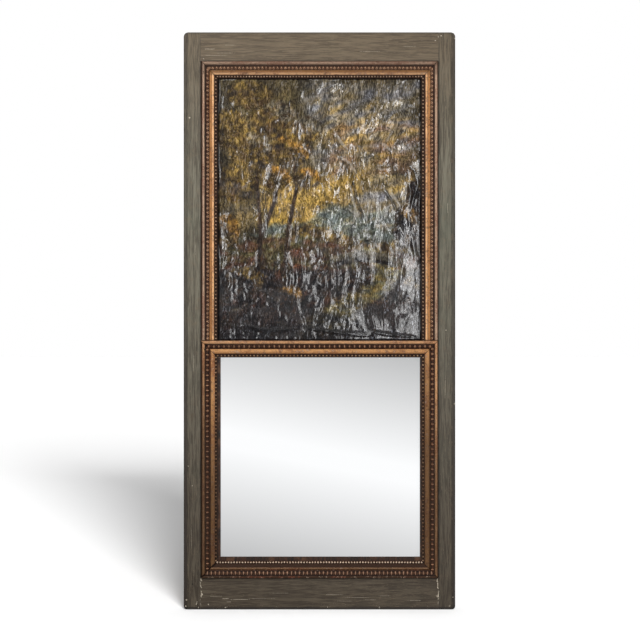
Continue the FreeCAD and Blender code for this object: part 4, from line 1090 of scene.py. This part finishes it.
    # bushes and boulders of the near bank
    bushes = ((0.86, 0.44, 0.040, 0.050, "crownGold"), (0.95, 0.56, 0.026, 0.040, "crownOlive"),
              (-0.72, 0.24, 0.050, 0.030, "crownOlive"), (-0.30, 0.18, 0.036, 0.020, "crownGold"),
              (0.90, 0.20, 0.040, 0.032, "crownOlive"))
    for cx, cz, rx, rz, light in bushes:
        painter.foliage(px(cx), pz(cz), rx, rz, v["crownDark"] + v["bank"], v[light], 260)
    boulders = ((-0.50, 0.10, 0.016), (-0.38, 0.075, 0.011), (-0.80, 0.12, 0.013), (0.02, 0.06, 0.012),
                (0.74, 0.09, 0.014))
    for cx, cz, size in boulders:
        bx, bz = px(cx), pz(cz)
        painter.dab(bx, bz, size, size * 0.6, 0.1, v["stone"][2] * 0.7, 0.95)
        painter.dab(bx - size * 0.2, bz + size * 0.3, size * 0.7, size * 0.25, 0.2, v["stone"][1], 0.7)
    painter.scatter(150, box(-1, 1, 0.02, 0.34), 0.004, 0.0022, 0.8, v["spark"], 0.6, onBank)
    painter.scatter(90, box(-1, 1, 0.0, 0.13), 0.05, 0.012, 0.1, v["bank"], 0.6)
    # the paint is darker towards the edges: painted shade by the moulding
    edge = np.minimum.reduce([x - low.x, high.x - x, z - low.z, high.z - z])
    shade = 0.72 + 0.28 * np.clip(edge / 0.05, 0, 1)
    return np.clip(painter.colour * shade[..., None], 0, 1)


def canvasPiece(materials):
    c = canvasValues
    low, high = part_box("canvas")
    front = low.y
    bend = c["bend"]
    columns = int(round((high.x - low.x - 2 * bend) / c["step"] / c["coarse"])) * c["coarse"] + 1
    rows = int(round((high.z - low.z - 2 * bend) / c["step"] / c["coarse"])) * c["coarse"] + 1
    x, z = np.meshgrid(np.linspace(low.x + bend, high.x - bend, columns),
                       np.linspace(low.z + bend, high.z - bend, rows))
    lift, folds = cockle(x, z, low, high)
    colours = paintLandscape(x, z, low, high)
    points, faces = [], []

    def sheetGrid(px, py, pz, flip):
        # one face of the cloth, as a grid; returns the ring of points round its edge
        first = len(points)
        r, k = px.shape
        points.extend(np.column_stack([px.ravel(), py.ravel(), pz.ravel()]).tolist())
        for j in range(r - 1):
            for i in range(k - 1):
                a = first + j * k + i
                face = (a, a + 1, a + k + 1, a + k)
                faces.append(face[::-1] if flip else face)
        ring = [first + i for i in range(k)] + [first + j * k + k - 1 for j in range(1, r)]
        ring += [first + (r - 1) * k + i for i in range(k - 2, -1, -1)]
        return ring + [first + j * k for j in range(r - 2, 0, -1)]

    def turnBack(ring, drops, flip):
        # a ring of the sheet's edge carried outward and back by each drop; returns the last ring
        middle = np.array([0.0, (low.z + high.z) / 2])
        half = np.array([(high.x - low.x) / 2, (high.z - low.z) / 2]) - bend
        base = np.array([points[k] for k in ring])[:, [0, 2]]
        side = np.trunc(np.round((base - middle) / half, 6))
        for grow, back in drops:
            first = len(points)
            points.extend([px, back, pz] for px, pz in (base + side * grow).tolist())
            fresh = [first + i for i in range(len(ring))]
            for i in range(len(ring)):
                n = (i + 1) % len(ring)
                face = (ring[i], fresh[i], fresh[n], ring[n])
                faces.append(face if flip else face[::-1])
            ring = fresh
        return ring

    outer = sheetGrid(x, front - lift, z, False)
    outerEnd = turnBack(outer, ((0.6 * bend, front + 0.5 * bend), (bend, front + bend),
                                (bend, front + 0.5 * c["turn"]), (bend, front + c["turn"])), False)
    outerFaces = len(faces)
    s = c["coarse"]
    innerBend = bend - c["cloth"]
    inner = sheetGrid(x[::s, ::s], front - lift[::s, ::s] + c["cloth"], z[::s, ::s], True)
    innerEnd = turnBack(inner, ((innerBend, front + bend), (innerBend, front + 0.5 * c["turn"]),
                                (innerBend, front + c["turn"])), True)
    for i in range(len(innerEnd)):  # the cut edge joins the two faces
        n = (i + 1) % len(innerEnd)
        cut = [outerEnd[(i * s + k) % len(outerEnd)] for k in range(s + 1)]
        faces.append(tuple(cut + [innerEnd[n], innerEnd[i]]))
    piece = newPiece("painted_cloth", points, faces, materials)
    fixNormals(piece)
    piece.data.polygons.foreach_set("material_index", [0] * outerFaces + [1] * (len(faces) - outerFaces))
    colour = np.zeros((len(points), 4))
    colour[:, 3] = 1
    flat = linear(colours.reshape(-1, 3))
    colour[:len(flat), :3] = flat
    colour[len(flat):, :3] = c["endTone"]
    layer = piece.data.attributes.new("paint", "FLOAT_COLOR", "POINT")
    layer.data.foreach_set("color", colour.ravel())
    fold = np.zeros(len(points))
    fold[:folds.size] = folds.ravel() * 1000
    layer = piece.data.attributes.new("fold", "FLOAT", "POINT")
    layer.data.foreach_set("value", fold)
    hand(piece, "frame", "painted_canvas", "canvas")
    return piece


varnishValues = {
    "streakAcross": 270.0, "streakAlong": 70.0, "bristleAcross": 420.0, "bristleAlong": 135.0,
    "relief": 0.0023, "dark": 0.40, "light": 1.85, "shadowTop": 1.3315, "shadowFoot": 0.6790,
    "shadowSide": 0.2555,
}


def varnishedPaint():
    v = varnishValues
    finish = Finish("varnished_oil_paint", {"Coat Roughness": 0.11, "Specular IOR Level": 0.12})
    finish.surface.inputs["Specular Tint"].default_value = tone("#e6ecff")
    paint = finish.attribute("paint", "Color")
    # the brush and the cockled cloth both leave fine upright ridges
    bend = finish.noise(22.0, 2.0)
    leaning = finish.shifted(finish.stretch((v["streakAcross"], 1.0, v["streakAlong"])), bend * 9.0)
    streak = finish.noise(1.0, 3.0, 0.62, 0.35, leaning)
    bristle = finish.drawn((v["bristleAcross"], 1.0, v["bristleAlong"]), 4.0, 0.6, 0.6)
    fine = finish.noise(1100.0, 3.0, 0.6)
    cloud = finish.noise(17.0, 4.0, 0.6)
    patch = finish.noise(60.0, 4.0, 0.6)
    crackle = finish.cells((150.0, 150.0, 105.0), "DISTANCE_TO_EDGE")
    crack = crackle.past(0.035, 0.008) * cloud.past(0.36, 0.6)
    # the ridges that the bump raises are painted lighter and the furrows between them darker: painted
    # highlight and painted shade
    body = (streak * 0.68 + bristle * 0.32).past(0.42, 0.58)
    # broad upright sweeps, pale and dark, as the varnish has clouded
    sweep = finish.drawn((46.0, 1.0, 13.0), 4.0, 0.62, 0.8)
    clouded = sweep.past(0.40, 0.60)
    gain = (body * (v["light"] - v["dark"]) + v["dark"]) * (0.62 + clouded * 0.76)
    gain = gain * (1 - finish.z.past(0.96, 0.84) * 0.3)
    finish.colour = finish.add("ShaderNodeVectorMath", {"operation": "SCALE"},
                               {"Vector": paint, "Scale": gain})
    finish.over(patch.past(0.56, 0.72) * 0.4, "#3b2713")
    # thin silver strokes are painted glints, more of them towards the right
    painted_glint = (bristle * 0.5 + streak * 0.5).past(0.545, 0.60)
    painted_glint = painted_glint * (0.15 + (cloud + (sweep - 0.5)).past(0.36, 0.58) * 0.95)
    right = (finish.x + (patch - 0.5) * 0.2).past(-0.05, 0.22) * 0.3
    finish.over(painted_glint * (0.20 + right), "#b3b9c6")
    # the folds' furrows are painted dark and their ridges light: painted shade and painted highlight
    fold = finish.attribute("fold")
    finish.over(fold.past(-0.15, -0.9) * 0.7, "#0f0b08")
    finish.over((fold * bristle).past(0.5, 0.9) * 0.36, "#cdc6ba")
    finish.over(crack * 0.5, "#0d0a07")
    # the moulding's shadow lies along the sight edge, where dirt has gathered
    far = abs(finish.x)
    rim = finish.z.past(v["shadowTop"], v["shadowTop"] + 0.0016)
    rim = rim.most(finish.z.past(v["shadowFoot"] + 0.002, v["shadowFoot"]) * 0.8)
    rim = rim.most(far.past(v["shadowSide"] - 0.008, v["shadowSide"] - 0.001) * 0.95)
    finish.over(rim * 0.94, "#0c0705")
    grit = (bristle * 0.55 + fine * 0.45).past(0.44, 0.56)
    roughness = 0.24 + cloud.past(0.4, 0.7) * 0.14 + fine * 0.1 + rim * 0.6
    calm = finish.x.past(0.07, 0.15) * finish.z.past(1.04, 0.93)
    height = (streak + bristle * 0.55) * (1 + calm * 0.3) + fine * 0.16 - crack * 0.25
    coat = (0.40 + cloud * 0.8) * (0.35 + grit * 0.95) * (1 - rim)
    return finish.use(roughness=roughness, coat=coat, normal=finish.bump(height, v["relief"]))


def bareLinen():
    finish = Finish("linen_back", {"Roughness": 0.92, "Specular IOR Level": 0.15})
    threads = 5200.0  # radians a metre
    warp, weft = ((axis * threads).sine() for axis in (finish.x, finish.z))
    slub = finish.drawn((900.0, 1.0, 60.0), 3.0)
    slub = slub + finish.drawn((60.0, 1.0, 900.0), 3.0)
    stain = finish.noise(8.0, 5.0, 0.6)
    finish.colour = finish.mix(slub.past(0.8, 1.25), "#7d694b", "#a8926c")
    finish.over(stain.past(0.48, 0.7) * 0.6, "#574630")
    return finish.use(normal=finish.bump(warp * weft * 0.5 + slub, 0.0004))


canvasPiece([varnishedPaint(), bareLinen()])
print("canvas stretched and painted")


# the looking glass and the slips that pack it out

def mirrorFinish():
    finish = Finish("old_looking_glass", {"Specular IOR Level": 0.5})
    fox = finish.noise(520.0, 3.0, 0.6)
    cloud = finish.noise(26.0, 3.0)
    inset = (abs(finish.x) - 0.236).most(0.0) + (0.142 - finish.z).most(0.0) + (finish.z - 0.620).most(0.0)
    spots = (fox + inset.past(0.0, 0.014) * 0.16).past(0.80, 0.86) * cloud.past(0.45, 0.6)
    finish.colour = finish.mix(spots * 0.8, "#f3f4f5", "#3b342c")
    finish.over(inset.past(0.008, 0.018) * 0.12, "#c9cfce")
    sides = finish.y.past(-0.0036, -0.0032)
    finish.over(sides, "#7d8f88")
    roughness = 0.012 + spots * 0.3
    return finish.use(roughness=roughness, metallic=1 - spots * 0.7 - sides * 0.9)


def tinFoil():
    finish = Finish("tin_foil_back", {"Metallic": 0.8})
    wrinkle = finish.noise(180.0, 5.0, 0.65)
    cloud = finish.noise(12.0, 4.0)
    finish.colour = finish.mix(cloud.past(0.4, 0.7), "#8b8b8c", "#5f5c57")
    return finish.use(roughness=0.35 + wrinkle * 0.3, normal=finish.bump(wrinkle, 0.0004))


def stainedSlip():
    finish = Finish("stained_slip", {"Specular IOR Level": 0.35})
    brush = finish.drawn((240.0, 200.0, 30.0), 4.0, 0.6)
    cloud = finish.noise(34.0, 4.0, 0.6)
    finish.colour = finish.mix(brush.past(0.35, 0.7), "#20150e", "#4b2e1f")
    finish.over(cloud.past(0.50, 0.66) * 0.6, "#6a4a34")
    finish.over(cloud.past(0.42, 0.3) * 0.6, "#120e0b")
    finish.over(finish.attribute("arris") * brush.past(0.5, 0.62) * 0.5, "#7a6c5a")
    return finish.use(roughness=0.5 + brush * 0.25, normal=finish.bump(brush + cloud, 0.0004))


nodes["mirror_glass"].material_slots[0].material = mirrorFinish()
nodes["mirror_silvering"].material_slots[0].material = tinFoil()
slipFinish = stainedSlip()
for side in ("left", "right", "top", "bottom"):
    easedCopy("mirror_slip_" + side, 0.0005, slipFinish, "stained_slip")
print("glass and slips set")


# the back: boards, stretcher, blocks, pegs, nails, hangers

pine, oak = ("#94704a", "#6a4a2e"), ("#8a6a45", "#563c24")
oakSmall = bareTimber("oak_pegs", True, "#7c5a37", "#47301c")
timberPieces = (  # finish, slot, arris in mm, and the pieces
    (bareTimber("pine_boards", False, *pine), "bare_pine", 0.9,
     ("mirror_backboard_upper", "mirror_backboard_centre", "mirror_backboard_lower")),
    (bareTimber("pine_rail", False, "#876441", "#5c4029"), "bare_pine", 0.7, ("middle_rail",)),
    (bareTimber("pine_blocks", True, "#9a7850", "#6d4e30"), "bare_pine", 1.0,
     ("mirror_glue_blocks", "picture_glue_blocks")),
    (bareTimber("oak_uprights", True, *oak), "bare_oak", 0.8, ("stretcher_left", "stretcher_right")),
    (bareTimber("oak_cross_members", False, *oak), "bare_oak", 0.8,
     ("stretcher_top", "stretcher_bottom", "stretcher_crossbar")),
    (oakSmall, "bare_oak", 0.3, ("stretcher_keys", "glass_wedges")),
)
for material, slotName, arris, names in timberPieces:
    for nodeName in names:
        easedCopy(nodeName, arris / 1000, material, slotName)
nodes["tenon_pegs"].material_slots[0].material = oakSmall


def metalFinish(name, light, dark, rust, metallic, roughness):
    finish = Finish(name)
    scuff = finish.noise(420.0, 4.0, 0.6)
    cloud = finish.noise(90.0, 4.0, 0.6)
    bloom = cloud.past(0.46, 0.66)
    finish.colour = finish.mix(scuff.past(0.35, 0.68), dark, light)
    finish.over(bloom * 0.75, rust)
    return finish.use(roughness=roughness + bloom * 0.3 + scuff * 0.12,
                      metallic=metallic - bloom * metallic * 0.7, normal=finish.bump(scuff + cloud, 0.0003))


iron = metalFinish("rusted_iron", "#4a4039", "#241d18", "#5a3420", 0.8, 0.45)
steel = metalFinish("dull_steel", "#9b968d", "#5f5a52", "#6a5138", 0.95, 0.35)
brass = metalFinish("tarnished_brass", "#b08d4c", "#6a4f26", "#4a4a34", 0.95, 0.32)
for nodeName in ("backboard_nails", "stretcher_nails", "canvas_tacks"):
    nodes[nodeName].material_slots[0].material = iron
for side in ("left", "right"):
    nodes["hanger_screws_" + side].material_slots[0].material = steel
    nodes["hanger_strap_" + side].material_slots[0].material = brass
    nodes["hanger_ring_" + side].material_slots[0].material = brass
print("back and hardware finished")


# floor, light and camera

studioValues = {
    "drop": 0.0006, "cameraX": 0.0013, "cameraZ": 0.640, "cameraGap": 3.71, "frontY": -0.015,
    "lens": 83.05, "shiftUp": 0.0542, "fill": 0.21, "gloss": 0.22,
    "halfSize": 400.0, "peakHeight": 0.383, "peakLean": 0.2, "peak": 1.13, "fall": 1.83, "brightest": 1.09,
    "behindLevel": 0.5, "pale": "#f4f4f4", "dull": "#5c5955",
    "sun": 9.8, "sunAngle": 15.0, "sunHigh": 13.0, "sunSide": 12.4,
    "open": 0.4, "openAngle": 60.0, "openHigh": 35.0, "openSide": 20.0,
    "far": 0.52, "farAngle": 18.0, "farHigh": 97.0, "farSide": 0.0,
}
softboxes = {  # place, the point it faces, width, height, watts
    "right_box": ((0.85, -2.2, 1.00), (0.0, 0.0, 0.9), 0.35, 1.0, 15.8),
    "left_box": ((-1.55, -2.2, 1.60), (0.0, 0.0, 0.85), 0.70, 1.1, 34.5),
    "top_strip": ((-0.1, -1.5, 2.9), (0.0, 0.0, 1.0), 1.40, 0.3, 13.6),
    "window": ((0.50, -5.0, 1.10), (0.1, 0.0, 0.9), 0.45, 0.90, 15.0),
    "rear_box": ((0.5, 3.0, 2.0), (0.0, 0.0, 0.7), 2.0, 1.6, 80.0),
}


def studioFloor():
    s = studioValues
    size = s["halfSize"]
    corners = [(-size, -size), (size, -size), (size, size), (-size, size)]
    floor = newPiece("studio_floor", [(x, y, -s["drop"]) for x, y in corners], [(0, 1, 2, 3)], [])
    finish = Finish("studio_floor")
    ray = finish.nodeTree.nodes.new("ShaderNodeLightPath")
    seen, mirrored = (Wire(finish, ray.outputs[n]) for n in ("Is Camera Ray", "Is Glossy Ray"))
    pale = finish.add("ShaderNodeBsdfDiffuse", None, [s["pale"]])
    dull = finish.add("ShaderNodeBsdfDiffuse", None, [s["dull"]])
    # glossy rays alone see a glow fixed to the floor, brightest along a slanting line: a painted
    # reflection, laid out so that the looking glass, seen from the main camera's place, is greyer above and
    # below that line
    gap = s["cameraGap"]
    ahead = -finish.y
    height = s["cameraZ"] * ahead / (ahead + gap)
    across = finish.x * gap / (ahead + gap)
    away = abs(s["peakHeight"] - height - s["peakLean"] * across)
    level = (s["peak"] - away * s["fall"]).least(s["brightest"])
    level = ahead.past(-0.2, 0.1) * level + ahead.past(0.1, -0.2) * s["behindLevel"]
    sheen = finish.add("ShaderNodeEmission", None, ["#ffffff", level])
    unseen = finish.add("ShaderNodeMixShader", None, [mirrored, dull, sheen])
    both = finish.add("ShaderNodeMixShader", None, [seen, unseen, pale])
    output = [n for n in finish.nodeTree.nodes if n.type == "OUTPUT_MATERIAL"][0]
    finish.nodeTree.links.new(both.socket, output.inputs["Surface"])
    floor.data.materials.append(finish.material)
    # suns for the floor alone: a low one throws the soft shadow behind the frame, a wide one lifts it,
    # and one from behind gives the soft shade in front
    only = floorOnly(floor, "INCLUDE")
    for name, key in (("floor_sun", "sun"), ("open_sky", "open"), ("far_sky", "far")):
        floorSun(name, s[key], s[key + "Angle"], 90 - s[key + "High"], s[key + "Side"], only)
    return floor


def floorSun(name, energy, wide, tilt, side, lit):
    lamp = bpy.data.lights.new(name, "SUN")
    lamp.energy, lamp.angle = energy, math.radians(wide)
    sun = placed(name, lamp)
    sun.rotation_euler = (math.radians(tilt), 0, math.radians(side))
    sun.light_linking.receiver_collection = lit


def floorOnly(floor, state):
    # light linking: the floor alone, or all but the floor
    only = bpy.data.collections.new("floor_" + state.lower())
    only.objects.link(floor)
    only.collection_objects[0].light_linking.link_state = state
    return only


def studioWorld():
    s = studioValues
    world = bpy.data.worlds.new("studio")
    world.use_nodes = True
    bpy.context.scene.world = world
    tree = Tree(world.node_tree)
    world.node_tree.nodes.clear()
    ray = world.node_tree.nodes.new("ShaderNodeLightPath")
    seen, mirrored, through = (Wire(tree, ray.outputs[n]) for n in
                               ("Is Camera Ray", "Is Glossy Ray", "Is Transmission Ray"))
    toward = tree.add("ShaderNodeTexCoord", None, (), "Generated")
    up = Wire(tree, tree.add("ShaderNodeSeparateXYZ", None, [toward]).socket.node.outputs["Z"])
    ceiling = s["gloss"] - up.most(0.0).least(0.6) * 0.14
    white = seen.most(through)
    plain = mirrored * (ceiling - s["fill"]) + s["fill"]
    sky = tree.add("ShaderNodeBackground", None, ["#ffffff", white + (1 - white) * plain])
    output = world.node_tree.nodes.new("ShaderNodeOutputWorld")
    world.node_tree.links.new(sky.socket, output.inputs["Surface"])


def softbox(name, place, aim, wide, tall, power, lit):
    lamp = bpy.data.lights.new(name, "AREA")
    lamp.shape = "RECTANGLE"
    lamp.size, lamp.size_y, lamp.energy = wide, tall, power
    holder = placed(name, lamp)
    holder.location = place
    holder.rotation_euler = (Vector(aim) - Vector(place)).to_track_quat("-Z", "Y").to_euler()
    holder.visible_camera = False
    holder.light_linking.receiver_collection = lit


def studioCamera():
    s = studioValues
    lens = bpy.data.cameras.new("camera")
    lens.lens = s["lens"]
    lens.sensor_width = 36.0
    lens.shift_y = s["shiftUp"]
    camera = placed("camera", lens)
    camera.location = (s["cameraX"], s["frontY"] - s["cameraGap"], s["cameraZ"])
    camera.rotation_euler = (math.radians(90), 0, 0)
    bpy.context.scene.camera = camera


allButFloor = floorOnly(studioFloor(), "EXCLUDE")
studioWorld()
for name, (place, aim, wide, tall, power) in softboxes.items():
    softbox(name, place, aim, wide, tall, power, allButFloor)
studioCamera()
bpy.context.scene.view_settings.view_transform = "Standard"
print("studio set")
